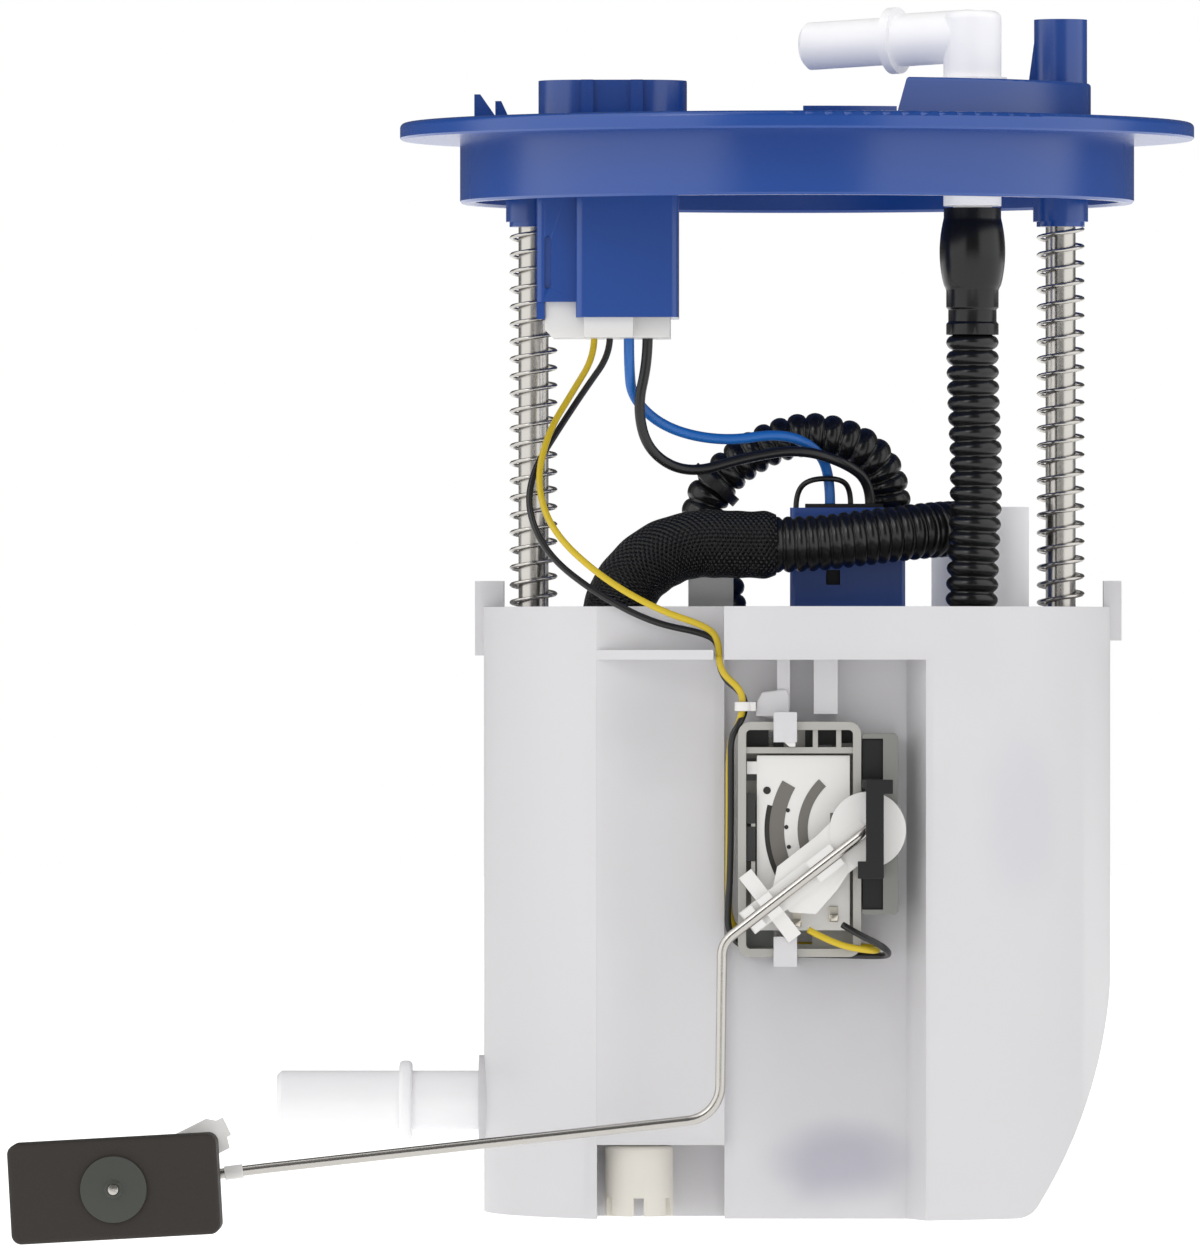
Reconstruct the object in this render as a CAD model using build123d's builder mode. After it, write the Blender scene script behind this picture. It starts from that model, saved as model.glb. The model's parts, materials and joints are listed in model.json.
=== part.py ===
from build123d import *
import math
import os

# Fuel pump module that hangs in a fuel tank. Millimetres, +Z up.
# The origin is on the flange axis, in the plane where the plate rests on the tank.
# +X is to the right and -Y is towards the level sender. "Depth" below means distance along -Y.
os.makedirs("parts", exist_ok=True)

# Fits
seat_clearance = 0.05  # moulded pieces seated in each other, on the radius
press_clearance = 0.02  # metal pieces pressed home, on the radius
slide_clearance = 0.25  # guide rods in their guides, on the radius
pivot_clearance = 0.08  # turning pieces, on the radius
stop_gap = 0.2  # stops at the end of a travel
lay_gap = 0.3  # pieces laid beside each other

# Flange: plate, neck, rod bosses
plate_radius = 79.4
plate_thickness = 3.4
plate_top_round = 1.1
plate_bottom_chamfer = 0.4
neck_radius = 67.4
neck_depth = 12.7
neck_wall = 2.6
neck_chamfer = 0.5
rib_thickness = 1.6
rib_depth = 8.0
rib_ring_radius = 20.0
rib_angles = (0, 45, 90, 135, 180, 270)
rod_spacing = 105.4
rod_radius = 3.0
boss_radius = 5.5
boss_depth = 16.3
boss_tip_radius = 4.8
boss_tip = 1.0
rod_top = -4.0

# Flange: what stands on the plate
deck_arc_radius = 61.5
pad_height = 7.3
pad_left = 19.6
pad_right = 58.4
pad_draft = 2.0
pad_back = 8.0
pad_round = 0.8
ledge_left = 1.2
ledge_height = 1.5
ledge_back = -40.0
tower_radius = 5.3
tower_height = 20.7
tower_bore = 3.2
tower_bore_depth = 6.0
tower_rib = 3.0
fin_thickness = 1.6

# Electrical connector, through the plate
shroud_centre = (-36.6, -20.5)
shroud_width = 29.4
shroud_depth = 26.0
shroud_corner = 8.0
shroud_wall = 1.8
shroud_height = 7.6
shroud_key = 1.2
socket_wall = 1.6
socket_left = -51.6
socket_step = -43.8
socket_right = -23.5
socket_front = -33.5
socket_back = -7.5
socket_step_inset = 3.6
socket_bottom = -36.0
socket_step_bottom = -32.9
socket_web_top = -2.0
socket_web = 3.0
plug_bottom = -40.0
plug_top = -12.0
plug_right_setback = 3.0
plug_right_edge = -32.4
plug_step_height = 7.7
lead_exits = {"yellow": -40.3, "black_thin": -37.2, "blue": -33.4, "black_thick": -29.7}
lead_exit_y = -20.0
blade_width = 2.8
blade_thickness = 0.8
blade_top = 7.0
blade_bottom = -18.0

# Outlet elbow, with a 3/8 inch quick-connect end
elbow_centre = (34.8, -25.0)
elbow_radius = 5.75
elbow_top = 24.9
elbow_top_round = 1.6
elbow_bore = 3.2
elbow_skirt = 1.1
elbow_barb_radius = 3.8
elbow_barb_bottom = -29.0
spigot_radius = 4.745
spigot_height = 20.0
spigot_yaw = 25.0
spigot_tilt = 2.5
spigot_length = 36.4
spigot_bead_radius = 6.6
spigot_bead_width = 1.9
spigot_bead_from_tip = 19.5
spigot_tip_chamfer = 0.9

# Outlet hose and its cuff
hose_radius = 4.7
hose_bore = 3.1
cuff_top = -14.2
cuff_bulge_radius = 6.5
cuff_waist_radius = 5.7
cuff_step = -30.5
cuff_band_radius = 5.2
cuff_bore = 2.2
cuff_nipple = 4.0
cuff_bottom = -39.4

# Return springs on the guide rods
spring_wire = 0.7
spring_outside = 9.5
spring_turns = 23
spring_seat = -98.0

# Reservoir
rim_z = -93.3
reservoir_radius = 62.6
reservoir_bottom = -214.0
reservoir_wall = 2.0
flank_start = -160.0
flank_radius = 95.0
flank_x = 62.9
flank_corner = 5.0
facet_y = -48.6
facet_right = -14.3
pocket_y = -46.0
pocket_top = -103.8
pocket_right = 21.6
pocket_flare = 4.0
niche_left = -39.4
niche_top = -199.4
niche_back = -31.0
shelf_thickness = 1.9
shelf_right = -16.4
guide_radius = 6.0
guide_bottom = -146.0
guide_web = 3.0
ear_top = -88.1
port_z = -191.9
port_radius = 5.9
port_bore = 4.0
port_tip = -104.0
port_bead_x = -78.2
port_bead_radius = 7.9
port_bead_width = 2.6
port_boss_radius = 9.0
valve_centre = (-14.0, 12.0)
valve_stem_radius = 1.6
valve_knob_radius = 2.1
valve_recess = 1.3
valve_cap_radius = 7.0

# Electric pump
pump_centre = (10.1, 1.0)
pump_radius = 19.0
pump_can_wall = 1.0
pump_top = -100.0
pump_bottom = -178.0
pump_end_thickness = 6.0
shaft_radius = 2.0
rotor_radius = 12.0
magnet_thickness = 4.6
impeller_radius = 15.0
impeller_thickness = 3.4
cap_base_radius = 17.0
cap_base = 3.0
cap_left = -1.4
cap_right = 21.6
cap_front = -9.0
cap_back = 11.0
cap_top = -73.5
cap_wall = 1.8
pump_plug = {"left": 1.6, "right": 17.2, "front": -7.1, "back": -2.0, "top": -72.7, "bottom": -81.0}
isolator_thickness = 0.9
collar_wall = 2.0
collar_top = -112.0
collar_height = 13.0

# Fuel filter, with the regulator tower
filter_y = 36.5
filter_half_span = 22.0
filter_radius = 15.0
filter_top = -112.0
filter_bottom = -206.0
filter_wall = 1.6
lid_step = 3.0
regulator_centre = (36.8, 16.0)
tower_outside = 9.8
tower_inside = 8.2
tower_top = -73.2
tower_floor = -94.0
nipple_bore = 1.6
loop_nipple = (-14.0, -1.0)
loop_nipple_top = -98.0
arm_radius = 3.4
loop_radius = 4.25
arm_z = -116.0
outlet_nipple_top = -103.0

# Level sender
frame_left = -11.6
frame_right = 12.6
frame_top = -116.0
frame_bottom = -162.2
frame_wall = 1.6
frame_corner = 2.5
frame_front = 57.0
frame_back = 50.5
frame_plate = 1.4
card_left = -7.9
card_right = 10.4
card_top = -122.6
card_bottom = -157.0
card_thickness = 0.8
card_front = 55.4
track_thickness = 0.08
pivot = (13.9, -137.2)
hub_radius = 7.5
hub_back = 57.6
hub_front = 61.0
holder_back = 58.9
holder_plate = 1.3
holder_reach = 30.0
holder_half_width = 2.6
holder_tab_reach = 24.3
holder_tab = 3.0
holder_tab_half_length = 8.0
wiper_angle = 207.0
wiper_reach = 19.4
wiper_thickness = 0.3
inner_track = 12.8
outer_track = 17.9
rail_left = 12.8
rail_right = 19.8
rail_top = -118.3
rail_bottom = -153.9
channel_right = 16.9
channel_end = 1.0
channel_floor = 54.8
pivot_boss_radius = 3.2
pivot_bore_floor = 49.0
bar_left = 13.5
bar_right = 17.0
bar_top = -127.3
bar_bottom = -146.7
bar_leg = 1.7
bar_strip = 1.4
bar_front = 66.2
bar_back = 64.0

# Float arm and float
wire_radius = 1.0
wire_depth = 62.2
arm_elbow = (-28.6, -22.2)
arm_knee = (-29.0, -56.3)
arm_bend = (-118.6, -66.4)
wire_bend = 2.2
wire_sleeve_start = 4.0
wire_sleeve_length = 3.6
wire_sleeve_wall = 0.35
float_axis = (-147.3, -70.0)
float_length = 40.9
float_height = 19.6
float_thickness = 14.0
float_back = 64.2
float_tilt = 3.2
keeper_thickness = 0.5
float_corner = 2.0
clip_bottom = -98.8
clip_band = 4.0
clip_height = 13.8
clip_radius = 6.5
clip_thickness = 0.6
wire_end = 80.6

# Sizes that follow from the ones above
rod_x = rod_spacing / 2
deck_z = plate_thickness
pad_z = plate_thickness + pad_height
spring_top = -(boss_depth + boss_tip)
spring_radius = (spring_outside - spring_wire) / 2
rod_bottom = guide_bottom - 6.0
reservoir_floor = reservoir_bottom + reservoir_wall
rim_inside = reservoir_radius - reservoir_wall
pivot_x, pivot_z = pivot
float_x = pivot_x + float_axis[0]
float_z = pivot_z + float_axis[1]


def bend_radii(points):
    """The largest radius that each corner's two straight runs allow."""
    radii = []
    for before, corner, after in zip(points, points[1:], points[2:]):
        run_in = Vector(*corner) - Vector(*before)
        run_out = Vector(*after) - Vector(*corner)
        turn = math.radians(run_in.get_angle(run_out))
        radii.append(0.45 * min(run_in.length, run_out.length) / math.tan(turn / 2))
    return radii


def report_route(name, route, radii, tube, area):
    """Prints a route's tightest bend and its volume against section times length."""
    length = sum(edge.length for edge in route.edges())
    share = tube.part.volume / (area * length)
    print(f"{name}: length {length:.1f}, tightest bend {min(radii):.1f}, volume share {share:.3f}")


def route_tube(name, points, radius, bore=0.0):
    """A round hose of straight runs joined by tangent arcs."""
    radii = bend_radii(points)
    with BuildPart() as tube:
        with BuildLine() as route:
            FilletPolyline(*points, radius=radii)
        with BuildSketch(Plane(origin=route.line @ 0, z_dir=route.line % 0)) as section:
            Circle(radius)
            Circle(bore, mode=Mode.SUBTRACT)
        sweep()
    report_route(name, route, radii, tube, section.sketch.area)
    return tube


def route_lead(name, points, radius):
    """A thin lead on the same kind of route, six-sided so that it stays light."""
    radii = bend_radii(points)
    with BuildPart() as lead:
        with BuildLine() as route:
            FilletPolyline(*points, radius=radii)
        with BuildSketch(Plane(origin=route.line @ 0, z_dir=route.line % 0)) as section:
            RegularPolygon(radius, 6)
        sweep()
    report_route(name, route, radii, lead, section.sketch.area)
    return lead


# The raised pad is cut from a plate-wide arc, so its form is made first
with BuildPart() as pad_form:
    with BuildSketch(Plane.XY.offset(deck_z)):
        Circle(deck_arc_radius)
    extrude(amount=pad_height)
    with BuildSketch(Plane.XZ.offset(-pad_back)):
        with BuildLine():
            Polyline(
                (pad_left, deck_z), (pad_left + pad_draft, pad_z), (pad_right, pad_z), (pad_right, deck_z),
                close=True,
            )
        make_face()
    extrude(amount=deck_arc_radius + pad_back, mode=Mode.INTERSECT)
    fillet(pad_form.edges().group_by(Axis.Z)[-1], pad_round)

with BuildPart() as ledge_form:
    with BuildSketch(Plane.XY.offset(deck_z)):
        Circle(deck_arc_radius)
        with Locations(((ledge_left + pad_left) / 2, (ledge_back - deck_arc_radius) / 2)):
            Rectangle(pad_left - ledge_left, deck_arc_radius + ledge_back, mode=Mode.INTERSECT)
    extrude(amount=ledge_height)

# Flange cover: plate, hollow neck, bosses, pad, tower and the connector's two sockets
with BuildPart() as flange_cover:
    with BuildSketch(Plane.XZ):
        with BuildLine():
            Polyline(
                (0, 0), (0, plate_thickness), (plate_radius, plate_thickness), (plate_radius, 0),
                (neck_radius, 0), (neck_radius, -neck_depth), (neck_radius - neck_wall, -neck_depth),
                (neck_radius - neck_wall, 0),
                close=True,
            )
        make_face()
    revolve(axis=Axis.Z)
    rims = flange_cover.edges().filter_by(GeomType.CIRCLE)
    fillet(rims.group_by(Axis.Z)[-1], plate_top_round)
    plate_corner = flange_cover.edges().filter_by(lambda e: abs(e.center().Z) < 0.01 and e.length > 490)
    chamfer(plate_corner, plate_bottom_chamfer)
    neck_rim = flange_cover.edges().filter_by(GeomType.CIRCLE).group_by(Axis.Z)[0]
    chamfer(neck_rim, neck_chamfer)

    # Ribs under the plate
    with BuildSketch(Plane.XY.offset(-rib_depth)) as rib_sketch:
        for angle in rib_angles:
            with PolarLocations(0, 1, start_angle=angle):
                with Locations(((rib_ring_radius + neck_radius - neck_wall) / 2, 0)):
                    Rectangle(neck_radius - neck_wall - rib_ring_radius + rib_thickness, rib_thickness)
        Circle(rib_ring_radius + rib_thickness / 2)
        Circle(rib_ring_radius - rib_thickness / 2, mode=Mode.SUBTRACT)
    extrude(amount=rib_depth)

    # Rod bosses
    with BuildSketch(Plane.XY):
        with Locations((-rod_x, 0), (rod_x, 0)):
            Circle(boss_radius)
    extrude(amount=-boss_depth)
    with BuildSketch(Plane.XY.offset(-boss_depth)):
        with Locations((-rod_x, 0), (rod_x, 0)):
            Circle(boss_tip_radius)
    extrude(amount=-boss_tip)
    with BuildSketch(Plane.XY.offset(spring_top)):
        with Locations((-rod_x, 0), (rod_x, 0)):
            Circle(rod_radius + press_clearance)
    extrude(amount=rod_top - spring_top, mode=Mode.SUBTRACT)

    # Raised pad, ledge and tower post
    add(pad_form.part)
    add(ledge_form.part)
    with BuildSketch(Plane.XY.offset(deck_z)):
        with Locations((rod_x, 0)):
            Circle(tower_radius)
    extrude(amount=tower_height)
    with BuildSketch(Plane.XZ.offset(-tower_rib / 2)):
        with BuildLine():
            Polyline(
                (rod_x, pad_z), (rod_x - tower_radius - 1.2, pad_z),
                (rod_x - tower_radius + 0.4, pad_z + tower_height - 9), (rod_x, pad_z + tower_height - 9),
                close=True,
            )
        make_face()
    extrude(amount=tower_rib)
    with BuildSketch(Plane.XY.offset(deck_z + tower_height)):
        with Locations((rod_x, 0)):
            Circle(tower_bore)
    extrude(amount=-tower_bore_depth, mode=Mode.SUBTRACT)

    # Two locating fins at the left
    for fin_y, fin_left, fin_top, fin_right in ((-6.0, -64.4, 9.0, -58.6), (4.0, -60.4, 8.0, -56.6)):
        with BuildSketch(Plane.XZ.offset(-fin_y)):
            with BuildLine():
                Polyline(
                    (fin_left, deck_z - 1), (fin_left, fin_top), (fin_left + 1.2, fin_top), (fin_right, deck_z - 1),
                    close=True,
                )
            make_face()
        extrude(amount=fin_thickness)

    # Upper socket: a rounded shroud with keys, open at the top
    with BuildSketch(Plane.XY.offset(socket_web_top - socket_web)):
        with Locations(shroud_centre):
            RectangleRounded(shroud_width, shroud_depth, shroud_corner)
    extrude(amount=socket_web - socket_web_top)
    with BuildSketch(Plane.XY.offset(deck_z)):
        with Locations(shroud_centre):
            RectangleRounded(shroud_width, shroud_depth, shroud_corner)
            with GridLocations(shroud_width / 3, shroud_depth, 2, 2):
                Rectangle(2.4, 2 * shroud_key)
    extrude(amount=shroud_height)
    with BuildSketch(Plane.XY.offset(socket_web_top)):
        with Locations(shroud_centre):
            RectangleRounded(shroud_width - 2 * shroud_wall, shroud_depth - 2 * shroud_wall, shroud_corner - shroud_wall)
    extrude(amount=deck_z + shroud_height - socket_web_top, mode=Mode.SUBTRACT)

    # Lower socket: two boxes side by side, the left one shorter and set back
    main_width = socket_right - socket_step
    step_width = socket_step - socket_left + shroud_wall
    socket_y = (socket_front + socket_back) / 2
    socket_size = socket_back - socket_front
    with BuildSketch(Plane.XY.offset(socket_web_top)) as socket_main:
        with Locations(((socket_step + socket_right) / 2, socket_y)):
            RectangleRounded(main_width, socket_size, 1.5)
    extrude(amount=socket_bottom - socket_web_top)
    with BuildSketch(Plane.XY.offset(socket_web_top)) as socket_left_box:
        with Locations((socket_left + step_width / 2, socket_y)):
            RectangleRounded(step_width, socket_size - 2 * socket_step_inset, 1.2)
    extrude(amount=socket_step_bottom - socket_web_top)
    with BuildSketch(Plane.XY.offset(socket_bottom)):
        with Locations(((socket_step + socket_right) / 2, socket_y)):
            Rectangle(main_width - 2 * socket_wall, socket_size - 2 * socket_wall)
        with Locations((socket_left + socket_wall + step_width / 2, socket_y)):
            Rectangle(step_width, socket_size - 2 * socket_step_inset - 2 * socket_wall)
    extrude(amount=socket_web_top - socket_web - socket_bottom, mode=Mode.SUBTRACT)

    # Latch slot and foot of the shorter box
    slot_y = socket_front + socket_step_inset
    with BuildSketch(Plane.XZ.offset(-slot_y + 1)):
        with Locations((socket_left + 2.2, -25.1)):
            SlotOverall(10.4, 1.3, rotation=90)
    extrude(amount=-(socket_wall + 2), mode=Mode.SUBTRACT)
    with BuildSketch(Plane.XY.offset(socket_step_bottom)):
        with Locations((socket_left + socket_wall / 2, slot_y + 2.2)):
            Rectangle(socket_wall, 3.0)
    extrude(amount=-3.4)

    # Passages through the cover: blades and the outlet elbow
    with BuildSketch(Plane.XY.offset(socket_web_top - socket_web - 1)):
        for blade_x in lead_exits.values():
            with Locations((blade_x, lead_exit_y)):
                Rectangle(blade_thickness + 2 * press_clearance, blade_width + 2 * press_clearance)
    extrude(amount=socket_web + 2, mode=Mode.SUBTRACT)
    with BuildSketch(Plane.XY.offset(-1)):
        with Locations(elbow_centre):
            Circle(elbow_radius + seat_clearance)
    extrude(amount=pad_z + 2, mode=Mode.SUBTRACT)
flange_cover.part.label = "flange_cover"
export_step(flange_cover.part, "parts/flange_cover.step")

# Four blade terminals, moulded into the web between the two sockets
with BuildPart() as terminal_blades:
    with BuildSketch(Plane.XY.offset(blade_bottom)):
        for blade_x in lead_exits.values():
            with Locations((blade_x, lead_exit_y)):
                Rectangle(blade_thickness, blade_width)
    extrude(amount=blade_top - blade_bottom)
    chamfer(terminal_blades.edges().filter_by(Axis.Y).group_by(Axis.Z)[-1], 0.25)
terminal_blades.part.label = "terminal_blades"
export_step(terminal_blades.part, "parts/terminal_blades.step")

# White plug of the inner harness, in the lower socket
with BuildPart() as inner_plug:
    main_left = socket_step + socket_wall + seat_clearance
    main_right = socket_right - socket_wall - seat_clearance
    plug_depth = socket_size - 2 * socket_wall - 2 * seat_clearance
    with BuildSketch(Plane.XY.offset(plug_bottom)):
        with Locations(((main_left + main_right) / 2, socket_y)):
            Rectangle(main_right - main_left, plug_depth)
    extrude(amount=plug_top - plug_bottom)
    step_left = socket_left + socket_wall + seat_clearance
    with BuildSketch(Plane.XY.offset(plug_bottom)):
        with Locations(((step_left + main_left) / 2, socket_y)):
            Rectangle(main_left - step_left, plug_depth - 2 * socket_step_inset)
    extrude(amount=plug_top - plug_bottom)
    with BuildSketch(Plane.XY.offset(plug_bottom)):
        with Locations(((plug_right_edge + main_right) / 2, socket_y - plug_depth / 2)):
            Rectangle(main_right - plug_right_edge, 2 * plug_right_setback)
    extrude(amount=plug_step_height, mode=Mode.SUBTRACT)
    lower_left = inner_plug.edges().filter_by(Axis.Y).group_by(Axis.Z)[0].sort_by(Axis.X)[0]
    chamfer(lower_left, 1.6)
    with BuildSketch(Plane.XY.offset(plug_top)):
        for blade_x in lead_exits.values():
            with Locations((blade_x, lead_exit_y)):
                Rectangle(blade_thickness + 0.6, blade_width + 0.6)
    extrude(amount=blade_bottom - plug_top - 1, mode=Mode.SUBTRACT)
inner_plug.part.label = "inner_plug"
export_step(inner_plug.part, "parts/inner_plug.step")

# Outlet elbow: an upright body through the cover, and a beaded end that points back left
yaw = math.radians(spigot_yaw)
tilt = math.radians(spigot_tilt)
spigot_direction = Vector(-math.cos(yaw) * math.cos(tilt), math.sin(yaw) * math.cos(tilt), -math.sin(tilt))
spigot_origin = Vector(elbow_centre[0], elbow_centre[1], spigot_height)
spigot_plane = Plane(origin=spigot_origin, z_dir=spigot_direction)
with BuildPart() as outlet_elbow:
    with BuildSketch(Plane.XY.offset(cuff_top + 0.4)):
        with Locations(elbow_centre):
            Circle(elbow_radius)
    extrude(amount=elbow_top - cuff_top - 0.4)
    fillet(outlet_elbow.edges().group_by(Axis.Z)[-1], elbow_top_round)
    with BuildSketch(Plane.XY.offset(pad_z)):
        with Locations(elbow_centre):
            Circle(elbow_radius + elbow_skirt)
    extrude(amount=1.0)
    with BuildSketch(Plane.XY.offset(elbow_barb_bottom)):
        with Locations(elbow_centre):
            Circle(elbow_barb_radius)
    extrude(amount=cuff_top - elbow_barb_bottom + 1)
    with BuildSketch(spigot_plane):
        Circle(spigot_radius)
    extrude(amount=spigot_length)
    chamfer(outlet_elbow.faces().sort_by(Axis.X)[0].edges(), spigot_tip_chamfer)
    bead_start = spigot_length - spigot_bead_from_tip - spigot_bead_width / 2
    with BuildSketch(spigot_plane.offset(bead_start)):
        Circle(spigot_bead_radius)
    extrude(amount=spigot_bead_width)
    with BuildSketch(spigot_plane):
        Circle(spigot_radius + 0.5)
    extrude(amount=bead_start)
    with BuildSketch(spigot_plane):
        Circle(elbow_bore)
    extrude(amount=spigot_length + 1, mode=Mode.SUBTRACT)
    with BuildSketch(Plane.XY.offset(elbow_barb_bottom - 1)):
        with Locations(elbow_centre):
            Circle(elbow_bore - 0.4)
    extrude(amount=spigot_height - elbow_barb_bottom + 1, mode=Mode.SUBTRACT)
outlet_elbow.part.label = "outlet_elbow"
export_step(outlet_elbow.part, "parts/outlet_elbow.step")

# Rubber cuff: a bulged sleeve over the elbow's barb, with a banded end over the hose
cuff_plane = Plane(origin=(elbow_centre[0], elbow_centre[1], 0), x_dir=(1, 0, 0), z_dir=(0, -1, 0))
with BuildPart() as hose_cuff:
    with BuildSketch(cuff_plane):
        with BuildLine():
            Polyline(
                (cuff_bore, cuff_bottom - cuff_nipple), (hose_bore - seat_clearance, cuff_bottom - cuff_nipple),
                (hose_bore - seat_clearance, cuff_bottom), (cuff_band_radius, cuff_bottom),
                (cuff_band_radius, cuff_bottom + 2.2),
                (cuff_band_radius - 0.4, cuff_bottom + 2.6), (cuff_band_radius - 0.4, cuff_bottom + 5.0),
                (cuff_band_radius, cuff_bottom + 5.4), (cuff_band_radius, cuff_step), (cuff_waist_radius, cuff_step + 1),
            )
            Spline((cuff_waist_radius, cuff_step + 1), (cuff_bulge_radius, -24.0), (cuff_waist_radius, cuff_top - 2))
            Polyline(
                (cuff_waist_radius, cuff_top - 2), (cuff_waist_radius, cuff_top),
                (elbow_barb_radius + seat_clearance, cuff_top), (elbow_barb_radius + seat_clearance, elbow_barb_bottom),
                (cuff_bore, elbow_barb_bottom), (cuff_bore, cuff_bottom - cuff_nipple),
            )
        make_face()
    revolve(axis=Axis(cuff_plane.origin, (0, 0, 1)))
hose_cuff.part.label = "hose_cuff"
export_step(hose_cuff.part, "parts/hose_cuff.step")

# Guide rods and their retaining clips
for side, side_x in (("left", -rod_x), ("right", rod_x)):
    with BuildPart() as guide_rod:
        with BuildSketch(Plane.XY.offset(rod_bottom)):
            with Locations((side_x, 0)):
                Circle(rod_radius)
        extrude(amount=rod_top - rod_bottom)
        chamfer(guide_rod.edges().group_by(Axis.Z)[0], 0.6)
        clip_top = guide_bottom - stop_gap
        with BuildSketch(Plane.XY.offset(clip_top)):
            with Locations((side_x, 0)):
                Circle(rod_radius + 1)
                Circle(rod_radius - 0.5, mode=Mode.SUBTRACT)
        extrude(amount=-1.0, mode=Mode.SUBTRACT)
    guide_rod.part.label = f"guide_rod_{side}"
    export_step(guide_rod.part, f"parts/guide_rod_{side}.step")

    with BuildPart() as rod_clip:
        with BuildSketch(Plane.XY.offset(clip_top - press_clearance)):
            with Locations((side_x, 0)):
                Circle(rod_radius + 2.4)
                Circle(rod_radius - 0.5 + press_clearance, mode=Mode.SUBTRACT)
            with Locations((side_x, rod_radius + 1)):
                Rectangle(2 * rod_radius - 2.2, 2 * rod_radius, mode=Mode.SUBTRACT)
        extrude(amount=-(1.0 - 2 * press_clearance))
    rod_clip.part.label = f"rod_clip_{side}"
    export_step(rod_clip.part, f"parts/rod_clip_{side}.step")

    # Compression spring round the rod, a true helix of square-section facets
    with BuildPart() as return_spring:
        coil_height = spring_top - spring_seat - spring_wire - 2 * press_clearance
        coil_start = spring_seat + spring_wire / 2 + press_clearance
        with BuildLine() as coil:
            Helix(coil_height / spring_turns, coil_height, spring_radius, center=(side_x, 0, coil_start))
        with BuildSketch(Plane(origin=coil.line @ 0, z_dir=coil.line % 0)):
            RegularPolygon(spring_wire / 2, 4)
        sweep(is_frenet=True)
    return_spring.part.label = f"return_spring_{side}"
    export_step(return_spring.part, f"parts/return_spring_{side}.step")


def reservoir_form(inset, top):
    """The reservoir's closed form, moved inwards by inset: walls, recesses and the curved right flank."""
    floor = reservoir_bottom + inset
    arc_radius = flank_radius - inset
    arc_x = flank_x - flank_radius
    corner_x = arc_x + math.sqrt(arc_radius**2 - (floor - flank_start) ** 2)
    mid_z = (floor + flank_start) / 2
    mid_x = arc_x + math.sqrt(arc_radius**2 - (mid_z - flank_start) ** 2)
    beyond = reservoir_radius + 8
    with BuildPart() as form:
        with BuildSketch(Plane.XY.offset(floor)):
            Circle(reservoir_radius - inset)
        extrude(amount=top - floor)
        with BuildSketch(Plane.XZ) as side_view:
            with BuildLine():
                Polyline(
                    (arc_x + arc_radius, flank_start), (arc_x + arc_radius, top + 1), (-beyond, top + 1),
                    (-beyond, floor), (corner_x, floor),
                )
                ThreePointArc((corner_x, floor), (mid_x, mid_z), (arc_x + arc_radius, flank_start))
            make_face()
            low_corner = side_view.vertices().filter_by(lambda v: abs(v.X - corner_x) < 0.01)
            fillet(low_corner, flank_corner - inset)
        extrude(amount=beyond, both=True, mode=Mode.INTERSECT)
        # Flat facet at the left front, from rim to bottom
        with BuildSketch(Plane.XY.offset(reservoir_bottom - 1)):
            with Locations((facet_right + inset, facet_y + inset)):
                Rectangle(beyond, beyond, align=(Align.MAX, Align.MAX))
        extrude(amount=top - reservoir_bottom + 2, mode=Mode.SUBTRACT)
        # Sender pocket, open at the bottom, with a flared right side
        with BuildSketch(Plane.XY.offset(reservoir_bottom - 1)):
            with BuildLine():
                Polyline(
                    (facet_right - inset, -beyond), (facet_right - inset, pocket_y + inset),
                    (pocket_right + inset, pocket_y + inset), (pocket_right + pocket_flare + inset, pocket_y - 12),
                    (pocket_right + pocket_flare + inset, -beyond),
                    close=True,
                )
            make_face()
        extrude(amount=pocket_top + inset - reservoir_bottom + 1, mode=Mode.SUBTRACT)
        # Niche for the jet pump, at the foot of the facet
        with BuildSketch(Plane.XY.offset(reservoir_bottom - 1)):
            with Locations((facet_right + inset, niche_back + inset)):
                Rectangle(
                    facet_right - niche_left + 2 * inset, niche_back - facet_y + 20, align=(Align.MAX, Align.MAX)
                )
        extrude(amount=niche_top + inset - reservoir_bottom + 1, mode=Mode.SUBTRACT)
    return form


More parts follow.
